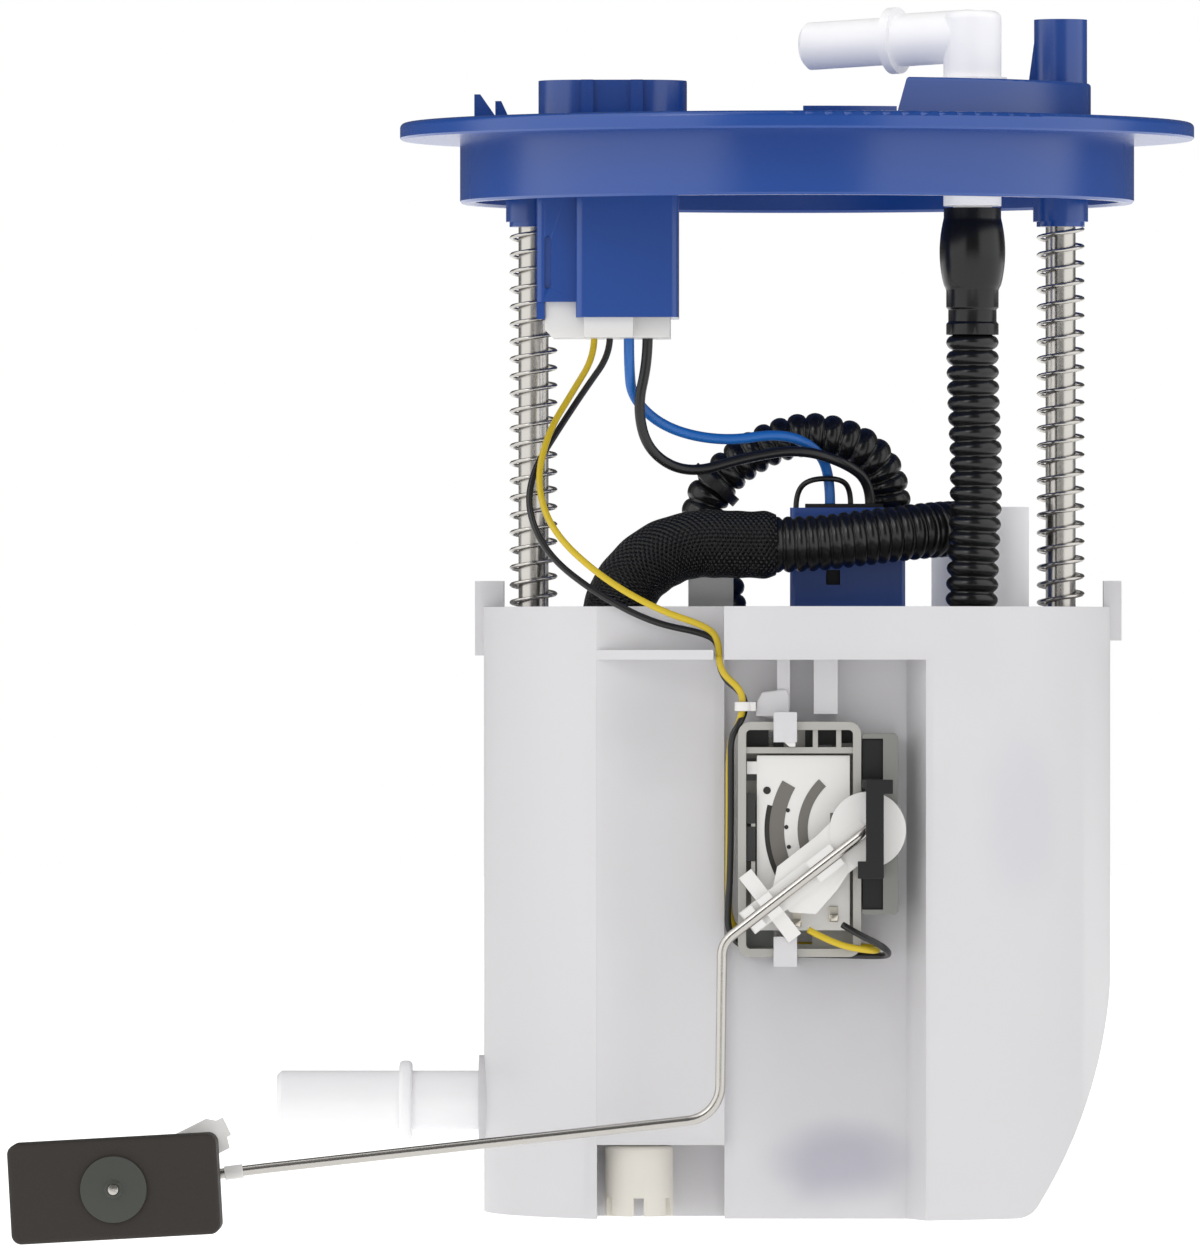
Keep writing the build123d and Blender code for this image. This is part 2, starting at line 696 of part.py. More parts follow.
# Reservoir: a round cup with a recessed front, rod guides, ears and the sender's seats
with BuildPart() as reservoir_shell:
    add(reservoir_form(0, rim_z).part)
    add(reservoir_form(reservoir_wall, rim_z + 1).part, mode=Mode.SUBTRACT)

    # Shelf on the facet, and two ribs over the sender
    with BuildSketch(Plane.XY.offset(pocket_top)):
        Circle(reservoir_radius)
        with Locations((shelf_right, facet_y + 1)):
            Rectangle(reservoir_radius, reservoir_radius, align=(Align.MAX, Align.MAX), mode=Mode.INTERSECT)
        with Locations((niche_left, 0)):
            Rectangle(2, 2 * reservoir_radius, align=(Align.MAX, Align.CENTER), mode=Mode.SUBTRACT)
    extrude(amount=shelf_thickness)
    with BuildSketch(Plane.XZ.offset(-pocket_y - 0.5)):
        for rib_left, rib_right in ((-3.9, -1.4), (3.3, 8.0)):
            with Locations(((rib_left + rib_right) / 2, (pocket_top + frame_top) / 2 + 1)):
                Rectangle(rib_right - rib_left, pocket_top - frame_top - 1)
    extrude(amount=8.0)

    # Snap hooks over the sender frame, and the wedge that carries the tie
    for hook_z, hook_way in ((frame_top, 1), (frame_bottom, -1)):
        with BuildSketch(Plane.XZ.offset(-pocket_y - 0.5)):
            with Locations((-2.3, hook_z + hook_way * (lay_gap + 0.8))):
                Rectangle(4.6, 1.6)
        extrude(amount=frame_front + pocket_y + 0.5 + 1.6)
        with BuildSketch(Plane.XZ.offset(frame_front + lay_gap)):
            with Locations((-2.3, hook_z - hook_way * 1.2)):
                Rectangle(4.6, 5.6)
        extrude(amount=1.3)
    with BuildSketch(Plane.YZ.offset(-8.0)):
        with BuildLine():
            Polyline((pocket_y + 0.5, -112.0), (-53.0, -112.0), (-55.0, -114.9), (pocket_y + 0.5, -114.9), close=True)
        make_face()
    extrude(amount=3.4)

    # Rod guides, each with a web to the wall
    with BuildSketch(Plane.XY.offset(guide_bottom)):
        for side_x in (-rod_x, rod_x):
            with Locations((side_x, 0)):
                Circle(guide_radius)
            with Locations((math.copysign(rim_inside + 0.5, side_x), 0)):
                web_align = (Align.MAX if side_x > 0 else Align.MIN, Align.CENTER)
                Rectangle(rim_inside - rod_x, guide_web, align=web_align)
    extrude(amount=spring_seat - guide_bottom)
    with BuildSketch(Plane.XY.offset(guide_bottom - 1)):
        with Locations((-rod_x, 0), (rod_x, 0)):
            Circle(rod_radius + slide_clearance)
    extrude(amount=spring_seat - guide_bottom + 2, mode=Mode.SUBTRACT)

    # Ears on the rim, with the latch strip at the left
    for ear_left, ear_right, ear_front, ear_back, ear_foot in (
        (-63.2, -58.6, -2.0, 6.0, -100.0), (-64.4, -62.2, -1.0, 4.5, -103.0), (61.2, 64.8, -4.0, 4.0, -100.0),
    ):
        with BuildSketch(Plane.XY.offset(ear_foot)):
            with Locations(((ear_left + ear_right) / 2, (ear_front + ear_back) / 2)):
                Rectangle(ear_right - ear_left, ear_back - ear_front)
        extrude(amount=ear_top - ear_foot)

    # Boss and hole for the crossover port
    with BuildSketch(Plane.YZ.offset(-reservoir_radius - 1)):
        with Locations((0, port_z)):
            Circle(port_boss_radius)
    extrude(amount=4.6)
    with BuildSketch(Plane.YZ.offset(-reservoir_radius - 2)):
        with Locations((0, port_z)):
            Circle(port_radius + seat_clearance)
    extrude(amount=8, mode=Mode.SUBTRACT)

    # Holes in the floor for the inlet valve, and in the niche's roof for the jet pump
    with BuildSketch(Plane.XY.offset(reservoir_bottom - 1)):
        with Locations(valve_centre):
            Circle(valve_stem_radius + seat_clearance)
            with PolarLocations(4.6, 6):
                Circle(1.3)
    extrude(amount=reservoir_wall + 2, mode=Mode.SUBTRACT)
    with BuildSketch(Plane.XY.offset(niche_top - 1)):
        with Locations((-31.2, -40.0)):
            Circle(4.5 + seat_clearance)
    extrude(amount=reservoir_wall + 2, mode=Mode.SUBTRACT)
    with BuildSketch(Plane.XY.offset(reservoir_bottom)):
        with Locations(valve_centre):
            Circle(valve_knob_radius + 0.3)
    extrude(amount=valve_recess, mode=Mode.SUBTRACT)
reservoir_shell.part.label = "reservoir_shell"
export_step(reservoir_shell.part, "parts/reservoir_shell.step")

# Crossover port, welded into its boss
with BuildPart() as crossover_port:
    with BuildSketch(Plane.YZ.offset(port_tip)):
        with Locations((0, port_z)):
            Circle(port_radius)
    extrude(amount=-port_tip - 57.0)
    chamfer(crossover_port.edges().group_by(Axis.X)[0], 0.9)
    with BuildSketch(Plane.YZ.offset(port_bead_x - port_bead_width / 2)):
        with Locations((0, port_z)):
            Circle(port_bead_radius)
    extrude(amount=port_bead_width)
    bead_rims = crossover_port.edges().filter_by(lambda e: abs(e.length - 2 * math.pi * port_bead_radius) < 0.1)
    fillet(bead_rims, 0.9)
    with BuildSketch(Plane.YZ.offset(port_tip - 1)):
        with Locations((0, port_z)):
            Circle(port_bore)
    extrude(amount=-port_tip, mode=Mode.SUBTRACT)
crossover_port.part.label = "crossover_port"
export_step(crossover_port.part, "parts/crossover_port.step")

# Umbrella valve in the floor: a rubber mushroom that lets fuel in
with BuildPart() as umbrella_valve:
    valve_plane = Plane(origin=(valve_centre[0], valve_centre[1], 0), x_dir=(1, 0, 0), z_dir=(0, -1, 0))
    with BuildSketch(valve_plane):
        with BuildLine():
            Polyline(
                (0, reservoir_bottom + 0.1), (valve_knob_radius, reservoir_bottom + 0.1),
                (valve_knob_radius, reservoir_bottom + valve_recess - 0.05),
                (valve_stem_radius, reservoir_bottom + valve_recess - 0.05), (valve_stem_radius, reservoir_floor + 0.05),
                (valve_cap_radius, reservoir_floor + 0.05), (valve_cap_radius, reservoir_floor + 0.5),
                (valve_stem_radius, reservoir_floor + 2.2), (0, reservoir_floor + 2.2),
                close=True,
            )
        make_face()
    revolve(axis=Axis(valve_plane.origin, (0, 0, 1)))
umbrella_valve.part.label = "umbrella_valve"
export_step(umbrella_valve.part, "parts/umbrella_valve.step")

# Jet pump in its niche: a body with intake slots, and a neck through the niche's roof
jet_centre = (-31.2, -40.0)
with BuildPart() as jet_pump:
    with BuildSketch(Plane.XY.offset(reservoir_bottom + 0.4)):
        with Locations(jet_centre):
            Circle(6.8)
    extrude(amount=niche_top - reservoir_bottom - 0.7)
    fillet(jet_pump.edges().group_by(Axis.Z)[-1], 0.8)
    with BuildSketch(Plane.XY.offset(niche_top - 1)):
        with Locations(jet_centre):
            Circle(4.5)
    extrude(amount=reservoir_wall + 3)
    with BuildSketch(Plane.XY.offset(niche_top + reservoir_wall + 2)):
        with Locations(jet_centre):
            Circle(2.6)
    extrude(amount=9.0)
    with BuildSketch(Plane.XY.offset(reservoir_bottom)):
        with Locations(jet_centre):
            Circle(5.2)
    extrude(amount=6.0, mode=Mode.SUBTRACT)
    with BuildSketch(Plane.XY.offset(reservoir_bottom)):
        with Locations(jet_centre):
            Circle(nipple_bore)
    extrude(amount=40, mode=Mode.SUBTRACT)
    with BuildSketch(Plane.XY.offset(reservoir_bottom)):
        with Locations(jet_centre):
            with PolarLocations(6.0, 6, start_angle=30):
                Rectangle(4.0, 2.0)
    extrude(amount=4.0, mode=Mode.SUBTRACT)
jet_pump.part.label = "jet_pump"
export_step(jet_pump.part, "parts/jet_pump.step")

# Electric pump: can, end cap, inlet cover, magnets, rotor and impeller
pump_inside = pump_radius - pump_can_wall
with BuildPart() as pump_housing:
    with BuildSketch(Plane.XY.offset(pump_bottom)):
        with Locations(pump_centre):
            Circle(pump_radius)
            Circle(pump_inside, mode=Mode.SUBTRACT)
    extrude(amount=pump_top - pump_bottom)
pump_housing.part.label = "pump_housing"
export_step(pump_housing.part, "parts/pump_housing.step")

with BuildPart() as pump_end_cap:
    with BuildSketch(Plane.XY.offset(pump_top - pump_end_thickness)):
        with Locations(pump_centre):
            Circle(pump_inside - seat_clearance)
    extrude(amount=pump_end_thickness)
    with BuildSketch(Plane.XY.offset(pump_top)):
        with Locations((pump_centre[0] + 5, pump_centre[1] + 2.5)):
            Circle(3.0)
    extrude(amount=12)
    with BuildSketch(Plane.XY.offset(pump_top)):
        with Locations((pump_centre[0] - 6, pump_centre[1] - 6), (pump_centre[0] + 5, pump_centre[1] - 6)):
            Rectangle(3.2, 1.0)
    extrude(amount=8)
    with BuildSketch(Plane.XY.offset(pump_top - pump_end_thickness)):
        with Locations(pump_centre):
            Circle(shaft_radius + pivot_clearance)
    extrude(amount=3.6, mode=Mode.SUBTRACT)
    with BuildSketch(Plane.XY.offset(pump_top - pump_end_thickness)):
        with Locations((pump_centre[0] + 5, pump_centre[1] + 2.5)):
            Circle(nipple_bore)
    extrude(amount=30, mode=Mode.SUBTRACT)
pump_end_cap.part.label = "pump_end_cap"
export_step(pump_end_cap.part, "parts/pump_end_cap.step")

with BuildPart() as pump_inlet_cover:
    with BuildSketch(Plane.XY.offset(pump_bottom)):
        with Locations(pump_centre):
            Circle(pump_inside - seat_clearance)
    extrude(amount=pump_end_thickness)
    with BuildSketch(Plane.XY.offset(pump_bottom)):
        with Locations(pump_centre):
            Circle(5.0)
    extrude(amount=-8.0)
    with BuildSketch(Plane.XY.offset(pump_bottom + pump_end_thickness)):
        with Locations(pump_centre):
            Circle(shaft_radius + pivot_clearance)
    extrude(amount=-3.6, mode=Mode.SUBTRACT)
    with BuildSketch(Plane.XY.offset(pump_bottom - 9)):
        with Locations((pump_centre[0], pump_centre[1])):
            Circle(3.4)
    extrude(amount=10.0, mode=Mode.SUBTRACT)
pump_inlet_cover.part.label = "pump_inlet_cover"
export_step(pump_inlet_cover.part, "parts/pump_inlet_cover.step")

with BuildPart() as motor_magnets:
    with BuildSketch(Plane.XY.offset(-162.0)):
        with Locations(pump_centre):
            Circle(pump_inside - seat_clearance)
            Circle(pump_inside - seat_clearance - magnet_thickness, mode=Mode.SUBTRACT)
            Rectangle(12, 2 * pump_radius, mode=Mode.SUBTRACT)
    extrude(amount=46.0)
motor_magnets.part.label = "motor_magnets"
export_step(motor_magnets.part, "parts/motor_magnets.step")

impeller_top = pump_bottom + pump_end_thickness + lay_gap + impeller_thickness
shaft_bottom = pump_bottom + pump_end_thickness - 3.4
shaft_top = pump_top - pump_end_thickness + 3.4
with BuildPart() as pump_armature:
    with BuildSketch(Plane.XY.offset(shaft_bottom)):
        with Locations(pump_centre):
            Circle(shaft_radius)
    extrude(amount=shaft_top - shaft_bottom)
    with BuildSketch(Plane.XY.offset(-160.0)):
        with Locations(pump_centre):
            Circle(rotor_radius)
            with PolarLocations(rotor_radius, 8):
                Rectangle(4.4, 1.6, mode=Mode.SUBTRACT)
    extrude(amount=42.0)
    with BuildSketch(Plane.XY.offset(-116.0)):
        with Locations(pump_centre):
            Circle(6.0)
    extrude(amount=6.0)
pump_armature.part.label = "pump_armature"
export_step(pump_armature.part, "parts/pump_armature.step")

with BuildPart() as pump_impeller:
    with BuildSketch(Plane.XY.offset(impeller_top - impeller_thickness)):
        with Locations(pump_centre):
            Circle(impeller_radius)
            with PolarLocations(impeller_radius, 18):
                Rectangle(4.0, 1.5, mode=Mode.SUBTRACT)
            Circle(shaft_radius + press_clearance, mode=Mode.SUBTRACT)
    extrude(amount=impeller_thickness)
pump_impeller.part.label = "pump_impeller"
export_step(pump_impeller.part, "parts/pump_impeller.step")

# Rubber ring between the pump and the filter's collar
with BuildPart() as pump_isolator:
    with BuildSketch(Plane.XY.offset(collar_top - collar_height + 1)):
        with Locations(pump_centre):
            Circle(pump_radius + seat_clearance + isolator_thickness)
            Circle(pump_radius + seat_clearance, mode=Mode.SUBTRACT)
    extrude(amount=collar_height - 2)
pump_isolator.part.label = "pump_isolator"
export_step(pump_isolator.part, "parts/pump_isolator.step")

# Blue cap on the pump: a round base, and a hollow block with the plug's seat and the loop hose's nipple
cap_x = (cap_left + cap_right) / 2
cap_y = (cap_front + cap_back) / 2
loop_cap_nipple = (18.4, 3.0)
with BuildPart() as pump_cap:
    with BuildSketch(Plane.XY.offset(pump_top + press_clearance)):
        with Locations(pump_centre):
            Circle(cap_base_radius)
    extrude(amount=cap_base)
    with BuildSketch(Plane.XY.offset(pump_top + cap_base)):
        with Locations((cap_x, cap_y)):
            RectangleRounded(cap_right - cap_left, cap_back - cap_front, 1.2)
    extrude(amount=cap_top - pump_top - cap_base)
    with BuildSketch(Plane.XY.offset(pump_top)):
        with Locations((cap_x, cap_y)):
            Rectangle(cap_right - cap_left - 2 * cap_wall, cap_back - cap_front - 2 * cap_wall)
    extrude(amount=cap_top - cap_wall - pump_top, mode=Mode.SUBTRACT)
    with BuildSketch(Plane.XY.offset(cap_top)):
        with Locations(loop_cap_nipple):
            Circle(2.5)
    extrude(amount=3.4)
    with BuildSketch(Plane.XY.offset(cap_top - cap_wall - 1)):
        with Locations(loop_cap_nipple):
            Circle(nipple_bore)
    extrude(amount=8.0, mode=Mode.SUBTRACT)
    plug_x = (pump_plug["left"] + pump_plug["right"]) / 2
    plug_y = (pump_plug["front"] + pump_plug["back"]) / 2
    with BuildSketch(Plane.XY.offset(cap_top + 1)):
        with Locations((plug_x, plug_y)):
            Rectangle(
                pump_plug["right"] - pump_plug["left"] + 2 * seat_clearance,
                pump_plug["back"] - pump_plug["front"] + 2 * seat_clearance,
            )
    extrude(amount=-(cap_wall + 2), mode=Mode.SUBTRACT)
    with BuildSketch(Plane.XZ.offset(-cap_front - cap_wall - 0.5)):
        with Locations((7.2, -87.4)):
            Rectangle(2.8, 3.0)
    extrude(amount=cap_wall + 1, mode=Mode.SUBTRACT)
pump_cap.part.label = "pump_cap"
export_step(pump_cap.part, "parts/pump_cap.step")

# Black plug of the pump leads, with its latch behind the cap's window
with BuildPart() as pump_connector:
    with BuildSketch(Plane.XY.offset(pump_plug["bottom"])):
        with Locations((plug_x, plug_y)):
            Rectangle(pump_plug["right"] - pump_plug["left"], pump_plug["back"] - pump_plug["front"])
    extrude(amount=pump_plug["top"] - pump_plug["bottom"])
    with BuildSketch(Plane.XZ.offset(-cap_front - cap_wall - 1.4)):
        with Locations((7.2, -85.2)):
            Rectangle(2.6, 9.0)
    extrude(amount=1.2)
pump_connector.part.label = "pump_connector"
export_step(pump_connector.part, "parts/pump_connector.step")

# Strainer under the pump's inlet
with BuildPart() as suction_strainer:
    with BuildSketch(Plane.XY.offset(-210.6)):
        with Locations((pump_centre[0], pump_centre[1] - 3)):
            RectangleRounded(40, 30, 8)
    extrude(amount=8.4)
    fillet(suction_strainer.edges().group_by(Axis.Z)[-1], 2.5)
    fillet(suction_strainer.edges().group_by(Axis.Z)[0], 2.5)
    with BuildSketch(Plane.XY.offset(-204.0)):
        with Locations(pump_centre):
            Circle(6.6)
    extrude(amount=pump_bottom - lay_gap + 204.0)
    with BuildSketch(Plane.XY.offset(-190.0)):
        with Locations(pump_centre):
            Circle(5.0 + seat_clearance)
    extrude(amount=20, mode=Mode.SUBTRACT)
suction_strainer.part.label = "suction_strainer"
export_step(suction_strainer.part, "parts/suction_strainer.step")

# Filter case: an oval canister, the pump's collar, two arms with nipples and the regulator's tower
jet_nipple = (33.4, -77.7)
outlet_nipple = (34.4, -25.0)
with BuildPart() as filter_case:
    with BuildSketch(Plane.XY.offset(filter_bottom)):
        with Locations((0, filter_y)):
            SlotCenterToCenter(2 * filter_half_span, 2 * filter_radius)
    extrude(amount=filter_top - filter_bottom)
    fillet(filter_case.edges().group_by(Axis.Z)[-1], 1.5)
    with BuildSketch(Plane.XY.offset(collar_top - collar_height)):
        with Locations(pump_centre):
            Circle(pump_radius + isolator_thickness + 2 * seat_clearance + collar_wall)
    extrude(amount=collar_height)
    with BuildSketch(Plane.XY.offset(-150.0)):
        with Locations(regulator_centre):
            Circle(tower_outside)
        with Locations((30.0, 26.0)):
            Rectangle(26.0, 7.0, rotation=-51)
    extrude(amount=filter_top + 150.0)
    with BuildSketch(Plane.XY.offset(filter_top)):
        with Locations(regulator_centre):
            Circle(tower_outside)
    extrude(amount=tower_top - filter_top)
    with BuildSketch(Plane.XZ.offset(-filter_y + 6)):
        with Locations((loop_nipple[0], arm_z)):
            Circle(arm_radius)
    extrude(amount=filter_y - 6 - loop_nipple[1] + arm_radius)
    with BuildSketch(Plane.XY.offset(arm_z)):
        with Locations(loop_nipple):
            Circle(2.6)
    extrude(amount=loop_nipple_top - arm_z)
    with BuildSketch(Plane.XZ.offset(-regulator_centre[1])):
        with Locations((outlet_nipple[0], arm_z)):
            Circle(arm_radius)
    extrude(amount=regulator_centre[1] - outlet_nipple[1] + arm_radius)
    with BuildSketch(Plane.XY.offset(arm_z)):
        with Locations(outlet_nipple):
            Circle(hose_bore - seat_clearance)
    extrude(amount=outlet_nipple_top - arm_z)
    with BuildSketch(Plane.XZ.offset(-regulator_centre[1] + 4)):
        with Locations(jet_nipple):
            Circle(2.5)
    extrude(amount=12.0)
    # Hollows
    with BuildSketch(Plane.XY.offset(collar_top - collar_height - 1)):
        with Locations(pump_centre):
            Circle(pump_radius + isolator_thickness + 2 * seat_clearance)
    extrude(amount=collar_height + 2, mode=Mode.SUBTRACT)
    with BuildSketch(Plane.XY.offset(filter_bottom - 1)):
        with Locations((0, filter_y)):
            SlotCenterToCenter(2 * filter_half_span, 2 * (filter_radius - filter_wall))
    extrude(amount=filter_top - filter_bottom + 1 - filter_wall, mode=Mode.SUBTRACT)
    with BuildSketch(Plane.XY.offset(tower_floor)):
        with Locations(regulator_centre):
            Circle(tower_inside)
    extrude(amount=tower_top - tower_floor + 1, mode=Mode.SUBTRACT)
    with BuildSketch(Plane.XZ.offset(-regulator_centre[1] + 2)):
        with Locations(jet_nipple):
            Circle(nipple_bore)
    extrude(amount=20.0, mode=Mode.SUBTRACT)
    for nipple_place, nipple_top in ((loop_nipple, loop_nipple_top), (outlet_nipple, outlet_nipple_top)):
        with BuildSketch(Plane.XY.offset(nipple_top + 1)):
            with Locations(nipple_place):
                Circle(nipple_bore)
        extrude(amount=arm_z - nipple_top - 1, mode=Mode.SUBTRACT)
filter_case.part.label = "filter_case"
export_step(filter_case.part, "parts/filter_case.step")

with BuildPart() as filter_element:
    with BuildSketch(Plane.XY.offset(filter_bottom + lid_step + seat_clearance)):
        with Locations((0, filter_y)):
            SlotCenterToCenter(2 * filter_half_span, 2 * (filter_radius - filter_wall - 1.0))
            SlotCenterToCenter(2 * filter_half_span, 10.0, mode=Mode.SUBTRACT)
    extrude(amount=filter_top - filter_bottom - lid_step - filter_wall - 2 * seat_clearance)
filter_element.part.label = "filter_element"
export_step(filter_element.part, "parts/filter_element.step")

with BuildPart() as filter_lid:
    with BuildSketch(Plane.XY.offset(filter_bottom - 2)):
        with Locations((0, filter_y)):
            SlotCenterToCenter(2 * filter_half_span, 2 * filter_radius)
    extrude(amount=2.0 - press_clearance)
    with BuildSketch(Plane.XY.offset(filter_bottom - press_clearance)):
        with Locations((0, filter_y)):
            SlotCenterToCenter(2 * filter_half_span, 2 * (filter_radius - filter_wall - seat_clearance))
            SlotCenterToCenter(2 * filter_half_span, 2 * (filter_radius - filter_wall) - 4, mode=Mode.SUBTRACT)
    extrude(amount=lid_step)
filter_lid.part.label = "filter_lid"
export_step(filter_lid.part, "parts/filter_lid.step")

# Pressure regulator: a crimped steel can in the tower's mouth
with BuildPart() as pressure_regulator:
    with BuildSketch(Plane.XY.offset(tower_floor + press_clearance)):
        with Locations(regulator_centre):
            Circle(5.0)
    extrude(amount=6.0)
    with BuildSketch(Plane.XY.offset(tower_floor + 6.0)):
        with Locations(regulator_centre):
            Circle(tower_inside - seat_clearance)
    extrude(amount=4.0)
    with BuildSketch(Plane.XY.offset(tower_floor + 10.0)):
        with Locations(regulator_centre):
            Circle(6.2)
    extrude(amount=7.5)
    fillet(pressure_regulator.edges().group_by(Axis.Z)[-1], 1.2)
pressure_regulator.part.label = "pressure_regulator"
export_step(pressure_regulator.part, "parts/pressure_regulator.step")

# Hoses. Each route is a list of places chosen by hand.
outlet_route = [
    (34.8, -25.0, cuff_bottom - press_clearance), (34.8, -25.0, -50.0), (35.8, -25.0, -68.0),
    (34.4, -25.0, -94.0), (34.4, -25.0, -111.5),
]
outlet_hose = route_tube("outlet_hose", outlet_route, hose_radius, hose_bore)
outlet_hose.part.label = "outlet_hose"
export_step(outlet_hose.part, "parts/outlet_hose.step")

loop_route = [
    (18.4, 3.0, cap_top + press_clearance), (18.4, 3.0, -67.4), (12.4, -0.8, -60.6), (1.0, -1.8, -58.0),
    (-11.4, -1.6, -63.4), (-19.6, -1.5, -72.6), (-17.4, -1.5, -81.6), (-14.0, -1.0, -90.0), (-14.0, -1.0, -111.0),
]
loop_hose = route_tube("loop_hose", loop_route, loop_radius, 2.65)
loop_hose.part.label = "loop_hose"
export_step(loop_hose.part, "parts/loop_hose.step")

jet_before = Vector(2.0, -20.9, -81.0)
jet_after = Vector(-10.4, -21.5, -81.0)
jet_split = tuple((jet_before + jet_after) / 2)
jet_route = [
    (33.4, 5.6, -77.7), (33.4, -7.0, -77.7), (27.4, -14.8, -77.9), (15.0, -19.6, -79.4), tuple(jet_before), jet_split,
]
jet_hose = route_tube("jet_hose", jet_route, 5.2, 2.55)
jet_hose.part.label = "jet_hose"
export_step(jet_hose.part, "parts/jet_hose.step")

sleeve_last = Vector(-36.8, -27.6, -94.6)
feed_first = Vector(-37.8, -32.6, -116.0)
sleeve_foot = tuple((sleeve_last + feed_first) / 2)
sleeve_route = [
    jet_split, tuple(jet_after), (-22.4, -22.4, -80.6), (-31.6, -24.4, -85.6), tuple(sleeve_last), sleeve_foot,
]
braided_sleeve = route_tube("braided_sleeve", sleeve_route, 6.4, 2.55)
braided_sleeve.part.label = "braided_sleeve"
export_step(braided_sleeve.part, "parts/braided_sleeve.step")

feed_route = [
    sleeve_foot, tuple(feed_first), (-35.4, -37.6, -146.0), (-31.2, -40.0, -172.0),
    (-31.2, -40.0, niche_top + 4.2 + reservoir_wall),
]
jet_feed_pipe = route_tube("jet_feed_pipe", feed_route, 4.2, 2.65)
jet_feed_pipe.part.label = "jet_feed_pipe"
export_step(jet_feed_pipe.part, "parts/jet_feed_pipe.step")

# Leads from the plug. The first four cross from the cover to the reservoir.
thin_lead = 0.63
thick_lead = 1.02
lead_z = plug_bottom - press_clearance
pump_plug_z = pump_plug["top"] + press_clearance
hook_z = -102.8
yellow_hook = (-15.35, -56.0, hook_z)
black_hook = (-15.35, -53.4, hook_z)
lead_routes = {
    "sender_lead_yellow_upper": (thin_lead, [
        (-40.3, -20.0, lead_z), (-40.3, -20.0, -43.6), (-44.4, -28.8, -50.6), (-49.4, -37.8, -59.2),
        (-51.4, -45.0, -69.2), (-48.2, -51.0, -78.7), (-38.7, -53.8, -87.5), (-27.5, -55.6, -94.0),
        (-17.8, -56.0, -97.2), (-15.35, -56.0, -99.8), yellow_hook,
    ]),
    "sender_lead_black_upper": (thin_lead, [
        (-37.2, -20.0, lead_z), (-37.2, -20.0, -43.2), (-41.8, -25.4, -49.8), (-47.2, -33.0, -58.2),
        (-52.1, -41.4, -66.4), (-53.2, -47.3, -74.4), (-49.2, -49.8, -83.2), (-39.9, -51.0, -90.6),
        (-28.5, -51.6, -96.6), (-18.0, -53.2, -98.6), (-15.35, -53.4, -100.6), black_hook,
    ]),
    "pump_lead_blue": (thick_lead, [
        (-33.4, -20.0, lead_z), (-33.4, -20.0, -45.6), (-32.8, -16.8, -52.0), (-26.0, -13.6, -58.0),
        (-14.6, -12.0, -60.4), (-3.0, -11.0, -58.6), (4.0, -8.4, -61.6), (6.6, -4.8, -67.0),
        (6.6, -4.8, pump_plug_z),
    ]),
    "pump_lead_black": (thick_lead, [
        (-29.7, -20.0, lead_z), (-29.7, -20.0, -44.6), (-31.8, -20.6, -53.8), (-29.6, -18.6, -62.6),
        (-21.6, -16.4, -67.0), (-10.4, -14.2, -63.6), (0.4, -12.8, -61.8), (9.2, -10.6, -64.4),
        (14.6, -4.8, -68.2), (14.6, -4.8, pump_plug_z),
    ]),
    "ground_lead": (0.55, [
        (-0.2, -6.2, cap_top + press_clearance), (-0.2, -6.2, -70.6), (2.2, -7.6, -67.8), (8.6, -7.4, -67.6),
        (10.7, -5.0, -69.8), (10.7, -5.0, pump_plug_z),
    ]),
    "sender_lead_yellow_lower": (thin_lead, [
        yellow_hook, (-15.35, -56.0, -106.0), (-10.8, -54.9, -109.8), (-10.6, -54.8, -113.4),
        (-13.2, -56.0, -116.2), (-14.6, -53.6, -119.8), (-13.6, -51.2, -124.6), (-12.6, -51.0, -136.0),
        (-12.8, -50.4, -149.6),
        (-12.6, -48.4, -156.2), (-8.4, -48.0, -159.8), (9.0, -48.0, -160.2), (14.4, -48.6, -160.3),
        (16.2, -52.8, -160.8), (14.7, -57.9, -161.0), (7.6, -59.2, -159.8), (2.2, -58.6, -156.8),
    ]),
    "sender_lead_black_lower": (thin_lead, [
        black_hook, (-15.35, -53.4, -106.8), (-10.6, -53.0, -110.6), (-10.6, -53.0, -113.8),
        (-12.7, -53.2, -117.6), (-13.3, -54.6, -124.5), (-13.2, -54.5, -138.3), (-13.5, -53.2, -149.6),
        (-13.9, -49.8, -157.6), (-9.2, -48.0, -161.6), (9.0, -48.0, -162.0), (16.2, -48.4, -162.2),
        (18.4, -53.4, -161.8), (16.8, -58.9, -160.0), (11.8, -59.7, -157.6), (8.9, -58.8, -155.8),
    ]),
}
for lead_name, (lead_radius, lead_route) in lead_routes.items():
    lead = route_lead(lead_name, lead_route, lead_radius)
    lead.part.label = lead_name
    export_step(lead.part, f"parts/{lead_name}.step")

# Tie that holds the two sender leads on the wedge
with BuildPart() as wire_tie:
    with BuildSketch(Plane.XY.offset(-113.9)):
        with Locations((-10.65, -53.9)):
            RectangleRounded(3.2, 5.0, 1.2)
            RectangleRounded(2.2, 4.0, 0.9, mode=Mode.SUBTRACT)
        with Locations((-8.8, -54.4)):
            Rectangle(1.4, 2.6)
    extrude(amount=1.8)
wire_tie.part.label = "wire_tie"
export_step(wire_tie.part, "parts/wire_tie.step")

